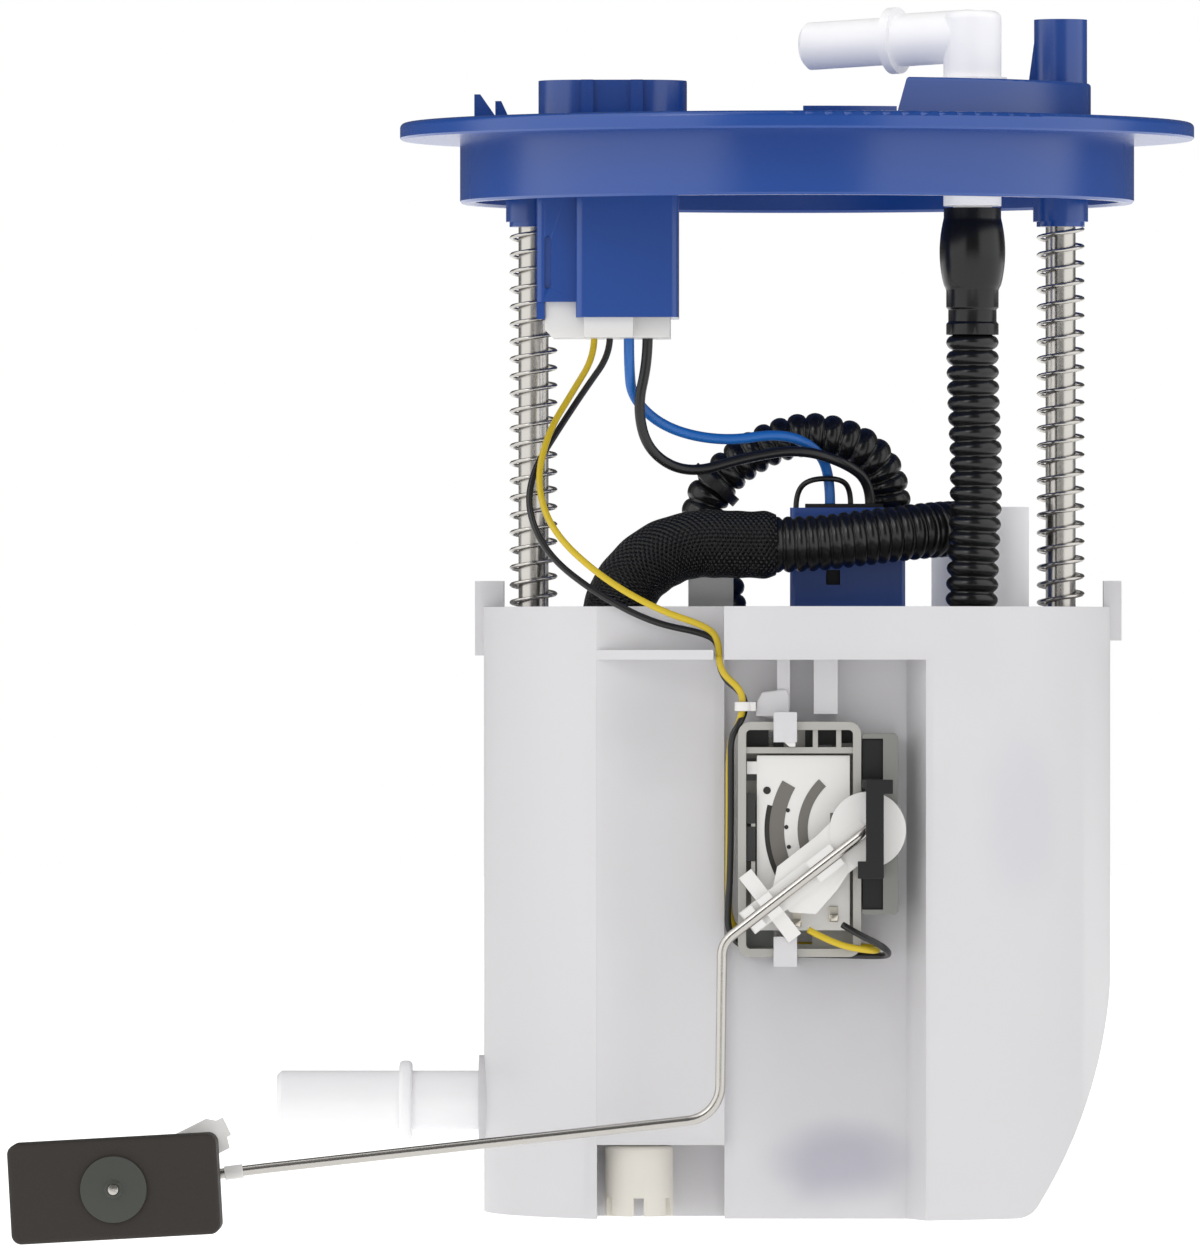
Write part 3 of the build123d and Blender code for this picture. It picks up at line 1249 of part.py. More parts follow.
# Sender frame: a tray with ribs and windows, on two feet
frame_x = (frame_left + frame_right) / 2
frame_z = (frame_top + frame_bottom) / 2
frame_width = frame_right - frame_left
frame_height = frame_top - frame_bottom
card_back = card_front - card_thickness
with BuildPart() as sender_frame:
    with BuildSketch(Plane.XZ.offset(frame_back)):
        with Locations((frame_x, frame_z)):
            RectangleRounded(frame_width, frame_height, frame_corner)
    extrude(amount=frame_front - frame_back)
    with BuildSketch(Plane.XZ.offset(frame_back + frame_plate)):
        with Locations((frame_x, frame_z)):
            RectangleRounded(frame_width - 2 * frame_wall, frame_height - 2 * frame_wall, frame_corner - frame_wall)
    extrude(amount=frame_front, mode=Mode.SUBTRACT)
    # Card seat, cross rib and the two small ribs above it
    with BuildSketch(Plane.XZ.offset(frame_back + 1)):
        for seat_x in (card_left + 1.2, card_right - 1.2):
            with Locations((seat_x, (card_top + card_bottom) / 2)):
                Rectangle(2.0, card_top - card_bottom - 2)
    extrude(amount=card_back - press_clearance - frame_back - 1)
    with BuildSketch(Plane.XZ.offset(frame_back + 1)):
        with Locations((frame_x, card_top + 1.0)):
            Rectangle(frame_width - frame_wall, 1.2)
        with Locations((3.6, frame_top - 3.4), (8.2, frame_top - 3.4)):
            Rectangle(1.0, 5.0)
        with Locations((frame_left + 3.0, (card_top + card_bottom) / 2 - 2)):
            Rectangle(0.8, 20.0)
    extrude(amount=frame_front - frame_back - 1.6)
    with BuildSketch(Plane.XZ.offset(frame_back - 1)):
        with Locations((-6.0, frame_top - 3.6), (5.9, frame_top - 3.4)):
            Rectangle(3.4, 3.2)
        with Locations((frame_x - 1, frame_bottom + 3.6)):
            Rectangle(7.0, 2.4)
    extrude(amount=frame_plate + 2, mode=Mode.SUBTRACT)
    with BuildSketch(Plane.XZ.offset(frame_back - 1)):
        with Locations((pivot_x, pivot_z)):
            Circle(pivot_boss_radius + lay_gap)
    extrude(amount=frame_front, mode=Mode.SUBTRACT)
    # Feet that stand on the reservoir's wall
    with BuildSketch(Plane.XZ.offset(-pocket_y + stop_gap)):
        with Locations((-6.5, -134.0), (8.5, -134.0)):
            Rectangle(3.0, 30.0)
    extrude(amount=frame_back + pocket_y - stop_gap + 0.5)
sender_frame.part.label = "sender_frame"
export_step(sender_frame.part, "parts/sender_frame.step")

# Side rail of the sender: a channel for the black bar, and a boss with the arm's pivot bore
rail_x = (rail_left + rail_right) / 2
rail_z = (rail_top + rail_bottom) / 2
with BuildPart() as sender_rail:
    with BuildSketch(Plane.XZ.offset(-pocket_y + stop_gap)):
        with Locations((rail_x, rail_z)):
            RectangleRounded(rail_right - rail_left, rail_top - rail_bottom, 0.8)
    extrude(amount=frame_front + pocket_y - stop_gap)
    with BuildSketch(Plane.XZ.offset(channel_floor)):
        with Locations(((rail_left + channel_right) / 2 - 1, rail_z)):
            Rectangle(channel_right - rail_left + 2, rail_top - rail_bottom - 2 * channel_end)
    extrude(amount=frame_front - channel_floor + 1, mode=Mode.SUBTRACT)
    with BuildSketch(Plane.XZ.offset(-pocket_y + stop_gap)):
        with Locations((pivot_x, pivot_z)):
            Circle(pivot_boss_radius)
    extrude(amount=frame_front + pocket_y - stop_gap)
    with BuildSketch(Plane.XZ.offset(pivot_bore_floor)):
        with Locations((pivot_x, pivot_z)):
            Circle(wire_radius + pivot_clearance)
    extrude(amount=frame_front, mode=Mode.SUBTRACT)
sender_rail.part.label = "sender_rail"
export_step(sender_rail.part, "parts/sender_rail.step")

# Black bar: two strips in the rail's channel, and a bridge over the hub that holds it in
bar_x = (bar_left + bar_right) / 2
bar_z = (bar_top + bar_bottom) / 2
strip_left = rail_left + seat_clearance
strip_right = channel_right - seat_clearance
with BuildPart() as retainer_bar:
    for strip_outer, strip_inner in (
        (rail_top - channel_end - seat_clearance, bar_top - bar_leg),
        (rail_bottom + channel_end + seat_clearance, bar_bottom + bar_leg),
    ):
        with BuildSketch(Plane.XZ.offset(channel_floor + press_clearance)):
            with Locations(((strip_left + strip_right) / 2, (strip_outer + strip_inner) / 2)):
                Rectangle(strip_right - strip_left, abs(strip_outer - strip_inner))
        extrude(amount=bar_strip)
    for leg_z in (bar_top - bar_leg / 2, bar_bottom + bar_leg / 2):
        with BuildSketch(Plane.XZ.offset(channel_floor + press_clearance)):
            with Locations(((strip_left + strip_right) / 2, leg_z)):
                Rectangle(strip_right - strip_left, bar_leg)
        extrude(amount=bar_front - channel_floor - 1)
    with BuildSketch(Plane.XZ.offset(bar_back)):
        with Locations((bar_x, bar_z)):
            Rectangle(bar_right - bar_left, bar_top - bar_bottom)
        with Locations((bar_right + 0.8, bar_top - 1.4)):
            Rectangle(2.0, 2.8)
        with Locations((bar_left - 0.7, bar_bottom + 1.7)):
            Rectangle(1.8, 3.4)
    extrude(amount=bar_front - bar_back)
retainer_bar.part.label = "retainer_bar"
export_step(retainer_bar.part, "parts/retainer_bar.step")

# Ceramic card, its printed tracks and two terminals
with BuildPart() as resistor_card:
    with BuildSketch(Plane.XZ.offset(card_back)):
        with Locations(((card_left + card_right) / 2, (card_top + card_bottom) / 2)):
            Rectangle(card_right - card_left, card_top - card_bottom)
    extrude(amount=card_thickness)
resistor_card.part.label = "resistor_card"
export_step(resistor_card.part, "parts/resistor_card.step")

with BuildPart() as resistor_tracks:
    for track_radius, track_width, track_from, track_to in ((outer_track, 2.9, 150, 212), (inner_track, 2.0, 150, 212)):
        with BuildSketch(Plane.XZ.offset(card_front)):
            with BuildLine():
                outer_arc = CenterArc(pivot, track_radius + track_width / 2, track_from, track_to - track_from)
                inner_arc = CenterArc(pivot, track_radius - track_width / 2, track_from, track_to - track_from)
                Line(outer_arc @ 0, inner_arc @ 0)
                Line(outer_arc @ 1, inner_arc @ 1)
            make_face()
        extrude(amount=track_thickness)
resistor_tracks.part.label = "resistor_tracks"
export_step(resistor_tracks.part, "parts/resistor_tracks.step")

with BuildPart() as sender_terminals:
    with BuildSketch(Plane.XZ.offset(card_front + press_clearance)):
        with Locations((0.0, -154.8), (7.2, -153.8)):
            Rectangle(1.8, 3.0)
    extrude(amount=0.5)
    for terminal_x, terminal_z in ((0.3, -156.0), (7.6, -154.9)):
        with BuildSketch(Plane.XZ.offset(card_front + 0.4)):
            with Locations((terminal_x - 0.3, terminal_z + 0.4)):
                Rectangle(1.4, 1.2)
        extrude(amount=2.6)
sender_terminals.part.label = "sender_terminals"
export_step(sender_terminals.part, "parts/sender_terminals.step")

# Float arm: moulded hub and holder
holder_turn = math.atan2(arm_elbow[1], arm_elbow[0])
holder_way = (math.cos(holder_turn), 0, math.sin(holder_turn))


def arm_plane(depth):
    """A plane at a depth, with its origin on the pivot and its x axis along the arm."""
    return Plane(origin=(pivot_x, -depth, pivot_z), x_dir=holder_way, z_dir=(0, -1, 0))


wire_seat = wire_depth - wire_radius - press_clearance
with BuildPart() as arm_rotor:
    with BuildSketch(Plane.XZ.offset(hub_back)):
        with Locations((pivot_x, pivot_z)):
            Circle(hub_radius)
    extrude(amount=hub_front - hub_back)
    with BuildSketch(arm_plane(holder_back)):
        with BuildLine():
            Polyline(
                (0, -6.2), (9, -5.2), (18.5, -5.2), (22, -2.2), (22, 3.4), (18.2, 6.8), (12, 5.6), (8.4, 4.4), (0, 4.2),
                close=True,
            )
        make_face()
    extrude(amount=holder_plate)
    with BuildSketch(arm_plane(holder_back)):
        with Locations((holder_reach / 2, 0)):
            Rectangle(holder_reach, 2 * holder_half_width)
        with Locations((holder_tab_reach, 0)):
            Rectangle(holder_tab, 2 * holder_tab_half_length)
    extrude(amount=wire_seat - holder_back)
    with BuildSketch(arm_plane(wire_seat - 0.5)):
        for lip_x, lip_length in ((10.6, 6.0), (holder_tab_reach, holder_tab), (28.4, 2.6)):
            for lip_side in (-1, 1):
                with Locations((lip_x, lip_side * (wire_radius + press_clearance + 0.7))):
                    Rectangle(lip_length, 1.4)
    extrude(amount=1.9)
    # Room for the wire's end and its bend
    with BuildSketch(arm_plane(hub_back)):
        Circle(wire_radius + press_clearance)
    extrude(amount=6.0, mode=Mode.SUBTRACT)
    with BuildSketch(arm_plane(wire_seat - wire_bend)):
        with Locations((wire_bend / 2, 0)):
            Rectangle(wire_bend + 2, 2 * (wire_radius + press_clearance))
    extrude(amount=6.0, mode=Mode.SUBTRACT)
arm_rotor.part.label = "arm_rotor"
export_step(arm_rotor.part, "parts/arm_rotor.step")

# Wiper: a sprung strip under the hub, with two fingers that rest near the tracks
with BuildPart() as wiper_blade:
    wiper_plane = Plane(
        origin=(pivot_x, -(hub_back - press_clearance), pivot_z),
        x_dir=(math.cos(math.radians(wiper_angle)), 0, math.sin(math.radians(wiper_angle))),
        z_dir=(0, 1, 0),
    )
    with BuildSketch(wiper_plane):
        with Locations((wiper_reach / 2 + 2.6, 0)):
            Rectangle(wiper_reach - 5.2, 2.6)
    extrude(amount=wiper_thickness)
    with BuildSketch(wiper_plane):
        for track_radius in (inner_track, outer_track):
            with Locations((track_radius, 0)):
                Rectangle(1.0, 1.0)
    extrude(amount=hub_back - press_clearance - card_front - track_thickness - 0.06)
wiper_blade.part.label = "wiper_blade"
export_step(wiper_blade.part, "parts/wiper_blade.step")

# Steel wire: from the pivot along the holder, down, out to the float, and through it
wire_route = [
    (pivot_x, -(pivot_bore_floor + 0.6), pivot_z), (pivot_x, -wire_depth, pivot_z),
    (pivot_x + arm_elbow[0], -wire_depth, pivot_z + arm_elbow[1]),
    (pivot_x + arm_knee[0], -wire_depth, pivot_z + arm_knee[1]),
    (pivot_x + arm_bend[0], -wire_depth, pivot_z + arm_bend[1]),
    (float_x, -wire_depth, float_z), (float_x, -wire_end, float_z),
]
wire_radii = [wire_bend, 5.0, 7.0, 30.0, wire_bend]
with BuildPart() as arm_wire:
    with BuildLine() as wire_line:
        FilletPolyline(*wire_route, radius=wire_radii)
    with BuildSketch(Plane(origin=wire_line.line @ 0, z_dir=wire_line.line % 0)):
        Circle(wire_radius)
    sweep()
report_route("arm_wire", wire_line, wire_radii, arm_wire, math.pi * wire_radius**2)
arm_wire.part.label = "arm_wire"
export_step(arm_wire.part, "parts/arm_wire.step")

# Light sleeve on the wire, just before the float
sleeve_start = Vector(pivot_x + arm_bend[0], -wire_depth, pivot_z + arm_bend[1])
sleeve_way = (Vector(float_x, -wire_depth, float_z) - sleeve_start).normalized()
with BuildPart() as wire_sleeve:
    with BuildSketch(Plane(origin=sleeve_start + sleeve_way * wire_sleeve_start, z_dir=sleeve_way)):
        Circle(wire_radius + wire_sleeve_wall)
        Circle(wire_radius + press_clearance, mode=Mode.SUBTRACT)
    extrude(amount=wire_sleeve_length)
wire_sleeve.part.label = "wire_sleeve"
export_step(wire_sleeve.part, "parts/wire_sleeve.step")

# Float: a foam block that swivels on the wire, held by a push-on washer
float_front = float_back + float_thickness
float_way = (math.cos(math.radians(float_tilt)), 0, math.sin(math.radians(float_tilt)))


def float_plane(depth):
    """A plane at a depth, with its origin on the float's swivel and its x axis along the block."""
    return Plane(origin=(float_x, -depth, float_z), x_dir=float_way, z_dir=(0, -1, 0))


with BuildPart() as float_block:
    with BuildSketch(float_plane(float_back)):
        RectangleRounded(float_length, float_height, float_corner)
    extrude(amount=float_thickness)
    float_faces = float_block.faces().filter_by(Axis.Y)
    fillet(float_faces.sort_by(Axis.Y)[0].outer_wire().edges(), 0.9)
    with BuildSketch(float_plane(float_back - 1)):
        Circle(wire_radius + pivot_clearance)
    extrude(amount=float_thickness + 2, mode=Mode.SUBTRACT)
float_block.part.label = "float_block"
export_step(float_block.part, "parts/float_block.step")

with BuildPart() as float_clip:
    with BuildSketch(float_plane(float_front + stop_gap)):
        Circle(clip_radius)
        Circle(wire_radius + press_clearance, mode=Mode.SUBTRACT)
    extrude(amount=clip_thickness)
    with BuildSketch(float_plane(float_front + stop_gap + clip_thickness)):
        Circle(wire_radius + 0.7)
        Circle(wire_radius + press_clearance, mode=Mode.SUBTRACT)
    extrude(amount=0.5)
float_clip.part.label = "float_clip"
export_step(float_clip.part, "parts/float_clip.step")

# Keeper behind the float: a plate with a finger that limits the swivel against the wire
with BuildPart() as float_keeper:
    with BuildSketch(float_plane(float_back - press_clearance - keeper_thickness)):
        Circle(5.0)
        with BuildLine():
            Polyline((0, 4.5), (0, -2.0), (3.0, -2.0), (22.6, 6.4), (21.6, 11.6), (18.2, 12.4), close=True)
        make_face()
        Circle(wire_radius + wire_bend + pivot_clearance, mode=Mode.SUBTRACT)
    extrude(amount=keeper_thickness)
    with BuildSketch(float_plane(wire_depth - wire_radius - 0.6)):
        with Locations((20.5, 9.95)):
            Rectangle(3.6, 3.8, rotation=23)
    extrude(amount=float_back - press_clearance - wire_depth + wire_radius + 0.6)
float_keeper.part.label = "float_keeper"
export_step(float_keeper.part, "parts/float_keeper.step")

# Black collar and steel clip on the loop hose
collar_start = Vector(-15.9, -1.55, -68.4)
collar_way = (Vector(-11.4, -1.6, -63.4) - Vector(-19.6, -1.5, -72.6)).normalized()
with BuildPart() as hose_collar:
    with BuildSketch(Plane(origin=collar_start - collar_way * 1.6, z_dir=collar_way)):
        Circle(loop_radius + 1.3)
        Circle(loop_radius + 0.4, mode=Mode.SUBTRACT)
    extrude(amount=2.0)
hose_collar.part.label = "hose_collar"
export_step(hose_collar.part, "parts/hose_collar.step")

with BuildPart() as ground_clip:
    with BuildSketch(Plane.XY.offset(clip_bottom)):
        with Locations(loop_nipple):
            Circle(loop_radius + 0.9)
            Circle(loop_radius + 0.3, mode=Mode.SUBTRACT)
    extrude(amount=clip_band)
    with BuildSketch(Plane.XY.offset(clip_bottom)):
        with Locations((loop_nipple[0] - 3.2, loop_nipple[1] - loop_radius - 1.0)):
            Rectangle(9.0, 0.6)
    extrude(amount=clip_height)
ground_clip.part.label = "ground_clip"
export_step(ground_clip.part, "parts/ground_clip.step")
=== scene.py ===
import bmesh
import bpy
import json
import math
import numpy as np
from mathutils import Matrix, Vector

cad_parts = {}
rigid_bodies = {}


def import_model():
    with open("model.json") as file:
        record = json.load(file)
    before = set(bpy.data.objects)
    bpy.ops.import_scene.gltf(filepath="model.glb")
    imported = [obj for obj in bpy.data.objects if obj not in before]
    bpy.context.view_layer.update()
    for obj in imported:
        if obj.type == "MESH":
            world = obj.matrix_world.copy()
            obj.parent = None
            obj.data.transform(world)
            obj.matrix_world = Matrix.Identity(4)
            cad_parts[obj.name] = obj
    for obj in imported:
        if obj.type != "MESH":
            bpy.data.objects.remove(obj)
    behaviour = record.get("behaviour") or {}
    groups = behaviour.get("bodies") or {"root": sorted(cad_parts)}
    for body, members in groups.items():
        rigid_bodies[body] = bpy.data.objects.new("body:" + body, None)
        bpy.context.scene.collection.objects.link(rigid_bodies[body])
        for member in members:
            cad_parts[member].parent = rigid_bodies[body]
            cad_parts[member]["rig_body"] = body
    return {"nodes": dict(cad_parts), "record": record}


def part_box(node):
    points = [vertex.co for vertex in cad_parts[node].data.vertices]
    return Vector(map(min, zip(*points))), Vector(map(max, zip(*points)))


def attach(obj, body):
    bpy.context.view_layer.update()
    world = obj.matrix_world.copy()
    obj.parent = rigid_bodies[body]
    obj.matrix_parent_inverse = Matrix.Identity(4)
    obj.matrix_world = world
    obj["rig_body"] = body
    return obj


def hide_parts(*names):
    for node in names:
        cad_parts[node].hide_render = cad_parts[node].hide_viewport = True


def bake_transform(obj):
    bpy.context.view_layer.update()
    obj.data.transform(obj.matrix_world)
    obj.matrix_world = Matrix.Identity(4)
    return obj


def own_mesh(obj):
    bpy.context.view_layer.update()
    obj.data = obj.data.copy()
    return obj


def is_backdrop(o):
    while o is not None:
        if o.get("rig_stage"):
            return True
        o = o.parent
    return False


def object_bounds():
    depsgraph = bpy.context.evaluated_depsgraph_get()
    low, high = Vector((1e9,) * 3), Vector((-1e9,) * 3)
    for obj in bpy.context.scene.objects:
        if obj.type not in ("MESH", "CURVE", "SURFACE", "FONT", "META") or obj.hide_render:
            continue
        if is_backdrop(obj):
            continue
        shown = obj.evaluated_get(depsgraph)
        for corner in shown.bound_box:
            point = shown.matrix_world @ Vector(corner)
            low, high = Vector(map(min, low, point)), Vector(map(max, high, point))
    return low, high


mm = 0.001

# ---- setup
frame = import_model()
nodes = frame["nodes"]
cadLow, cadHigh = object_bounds()
print("frame loaded,", len(nodes), "nodes")


# Nodes and materials
def addNode(tree, kind, x, y, **values):
    node = tree.nodes.new(kind)
    node.location = (x, y)
    for key, value in values.items():
        setattr(node, key, value)
    return node


def newGroup(name, inputs, outputs):
    group = bpy.data.node_groups.new(name, "ShaderNodeTree")
    for socketName, kind, default in inputs:
        socket = group.interface.new_socket(name=socketName, in_out="INPUT", socket_type=kind)
        socket.default_value = default
    for socketName, kind in outputs:
        group.interface.new_socket(name=socketName, in_out="OUTPUT", socket_type=kind)
    entry = addNode(group, "NodeGroupInput", -900, 0)
    leave = addNode(group, "NodeGroupOutput", 600, 0)
    return group, entry, leave


# Fine moulding grain: a bump normal and a slow change of tone
def makeGrainGroup():
    group, entry, leave = newGroup(
        "MouldGrain",
        [("Scale", "NodeSocketFloat", 900.0), ("Strength", "NodeSocketFloat", 0.05), ("Tone", "NodeSocketFloat", 0.05)],
        [("Normal", "NodeSocketVector"), ("Tone", "NodeSocketFloat")],
    )
    place = addNode(group, "ShaderNodeTexCoord", -900, -300)
    grain = addNode(group, "ShaderNodeTexNoise", -500, 100)
    grain.inputs["Detail"].default_value = 3
    slow = addNode(group, "ShaderNodeTexNoise", -500, -300)
    slow.inputs["Scale"].default_value = 22
    slow.inputs["Detail"].default_value = 2
    bump = addNode(group, "ShaderNodeBump", 200, 100)
    bump.inputs["Distance"].default_value = 0.0002
    spread = addNode(group, "ShaderNodeMath", -200, -300, operation="SUBTRACT")
    spread.inputs[1].default_value = 0.5
    tone = addNode(group, "ShaderNodeMath", 0, -300, operation="MULTIPLY")
    shift = addNode(group, "ShaderNodeMath", 200, -300, operation="ADD")
    shift.inputs[1].default_value = 1.0
    link = group.links.new
    link(place.outputs["Object"], grain.inputs["Vector"])
    link(place.outputs["Object"], slow.inputs["Vector"])
    link(entry.outputs["Scale"], grain.inputs["Scale"])
    link(grain.outputs["Fac"], bump.inputs["Height"])
    link(entry.outputs["Strength"], bump.inputs["Strength"])
    link(slow.outputs["Fac"], spread.inputs[0])
    link(spread.outputs[0], tone.inputs[0])
    link(entry.outputs["Tone"], tone.inputs[1])
    link(tone.outputs[0], shift.inputs[0])
    link(bump.outputs["Normal"], leave.inputs["Normal"])
    link(shift.outputs[0], leave.inputs["Tone"])
    return group


# Crossed strands on a sleeve, from its UV: a mask and a bump normal
def makeBraidGroup():
    group, entry, leave = newGroup(
        "BraidWeave",
        [("Around", "NodeSocketFloat", 16.0), ("Along", "NodeSocketFloat", 12.0)],
        [("Normal", "NodeSocketVector"), ("Mask", "NodeSocketFloat")],
    )
    uv = addNode(group, "ShaderNodeUVMap", -1100, 0)
    parts = addNode(group, "ShaderNodeSeparateXYZ", -900, -200)
    around = addNode(group, "ShaderNodeMath", -700, 100, operation="MULTIPLY")
    along = addNode(group, "ShaderNodeMath", -700, -100, operation="MULTIPLY")
    link = group.links.new
    link(uv.outputs["UV"], parts.inputs[0])
    link(parts.outputs["X"], around.inputs[0])
    link(entry.outputs["Around"], around.inputs[1])
    link(parts.outputs["Y"], along.inputs[0])
    link(entry.outputs["Along"], along.inputs[1])
    strands = []
    for index, way in enumerate(("ADD", "SUBTRACT")):
        lean = addNode(group, "ShaderNodeMath", -500, 200 - 300 * index, operation=way)
        wave = addNode(group, "ShaderNodeMath", -300, 200 - 300 * index, operation="PINGPONG")
        wave.inputs[1].default_value = 0.5
        link(around.outputs[0], lean.inputs[0])
        link(along.outputs[0], lean.inputs[1])
        link(lean.outputs[0], wave.inputs[0])
        strands.append(wave)
    top = addNode(group, "ShaderNodeMath", -100, 0, operation="MULTIPLY")
    gain = addNode(group, "ShaderNodeMath", 100, 0, operation="MULTIPLY")
    gain.inputs[1].default_value = 4.0
    bump = addNode(group, "ShaderNodeBump", 300, 100)
    bump.inputs["Distance"].default_value = 0.0009
    bump.inputs["Strength"].default_value = 0.9
    link(strands[0].outputs[0], top.inputs[0])
    link(strands[1].outputs[0], top.inputs[1])
    link(top.outputs[0], gain.inputs[0])
    link(gain.outputs[0], bump.inputs["Height"])
    link(bump.outputs["Normal"], leave.inputs["Normal"])
    link(gain.outputs[0], leave.inputs["Mask"])
    return group


# Painted shade on a pale wall: a soft darker blot stands in for what stands close behind the wall and shows through it,
# and for shade in its hollows
def makePaintedShadeGroup():
    group, entry, leave = newGroup(
        "InnerStain",
        [("Centre", "NodeSocketVector", (0.0, 0.0, 0.0)), ("Radii", "NodeSocketVector", (0.01, 0.01, 0.01)),
         ("Amount", "NodeSocketFloat", 0.3)],
        [("Mask", "NodeSocketFloat")],
    )
    place = addNode(group, "ShaderNodeTexCoord", -900, -300)
    offset = addNode(group, "ShaderNodeVectorMath", -700, 0, operation="SUBTRACT")
    spread = addNode(group, "ShaderNodeVectorMath", -500, 0, operation="DIVIDE")
    reach = addNode(group, "ShaderNodeVectorMath", -300, 0, operation="LENGTH")
    wobble = addNode(group, "ShaderNodeTexNoise", -500, -300)
    wobble.inputs["Scale"].default_value = 60
    stir = addNode(group, "ShaderNodeMath", -300, -300, operation="MULTIPLY")
    stir.inputs[1].default_value = 0.5
    total = addNode(group, "ShaderNodeMath", -100, 0, operation="ADD")
    fade = addNode(group, "ShaderNodeMapRange", 100, 0, interpolation_type="SMOOTHSTEP")
    fade.inputs["From Min"].default_value = 1.45
    fade.inputs["From Max"].default_value = 0.55
    scaled = addNode(group, "ShaderNodeMath", 300, 0, operation="MULTIPLY")
    link = group.links.new
    link(place.outputs["Object"], offset.inputs[0])
    link(place.outputs["Object"], wobble.inputs["Vector"])
    link(entry.outputs["Centre"], offset.inputs[1])
    link(offset.outputs[0], spread.inputs[0])
    link(entry.outputs["Radii"], spread.inputs[1])
    link(spread.outputs[0], reach.inputs[0])
    link(wobble.outputs["Fac"], stir.inputs[0])
    link(reach.outputs["Value"], total.inputs[0])
    link(stir.outputs[0], total.inputs[1])
    link(total.outputs[0], fade.inputs["Value"])
    link(fade.outputs[0], scaled.inputs[0])
    link(entry.outputs["Amount"], scaled.inputs[1])
    link(scaled.outputs[0], leave.inputs["Mask"])
    return group


paintedShadeGroup = makePaintedShadeGroup()
grainGroup = makeGrainGroup()
braidGroup = makeBraidGroup()


def addGroup(tree, group, x, y, **values):
    node = addNode(tree, "ShaderNodeGroup", x, y, node_tree=group)
    for key, value in values.items():
        node.inputs[key].default_value = value
    return node


# Colours are linear
def makeMaterial(name, colour, roughness, metallic=0.0, grain=0.04, tone=0.04, transmission=0.0, specular=0.5,
                 scale=900.0, glow=0.0):
    material = bpy.data.materials.new(name)
    material.use_nodes = True
    tree = material.node_tree
    shader = tree.nodes["Principled BSDF"]
    shader.inputs["Roughness"].default_value = roughness
    shader.inputs["Metallic"].default_value = metallic
    shader.inputs["Transmission Weight"].default_value = transmission
    shader.inputs["Specular IOR Level"].default_value = specular
    shader.inputs["IOR"].default_value = 1.5
    if glow:  # painted glow: emission standing in for light that the pale plastic passes on from behind
        shader.inputs["Emission Color"].default_value = (1, 1, 1, 1)
        shader.inputs["Emission Strength"].default_value = glow
    surface = addGroup(tree, grainGroup, -500, 0, Scale=scale, Strength=grain, Tone=tone)
    tint = addNode(tree, "ShaderNodeMix", -250, 200, data_type="RGBA", blend_type="MULTIPLY")
    tint.inputs[0].default_value = 1.0
    tint.inputs[6].default_value = (*colour, 1.0)
    tree.links.new(surface.outputs["Tone"], tint.inputs[7])
    tree.links.new(tint.outputs[2], shader.inputs["Base Color"])
    tree.links.new(surface.outputs["Normal"], shader.inputs["Normal"])
    return material


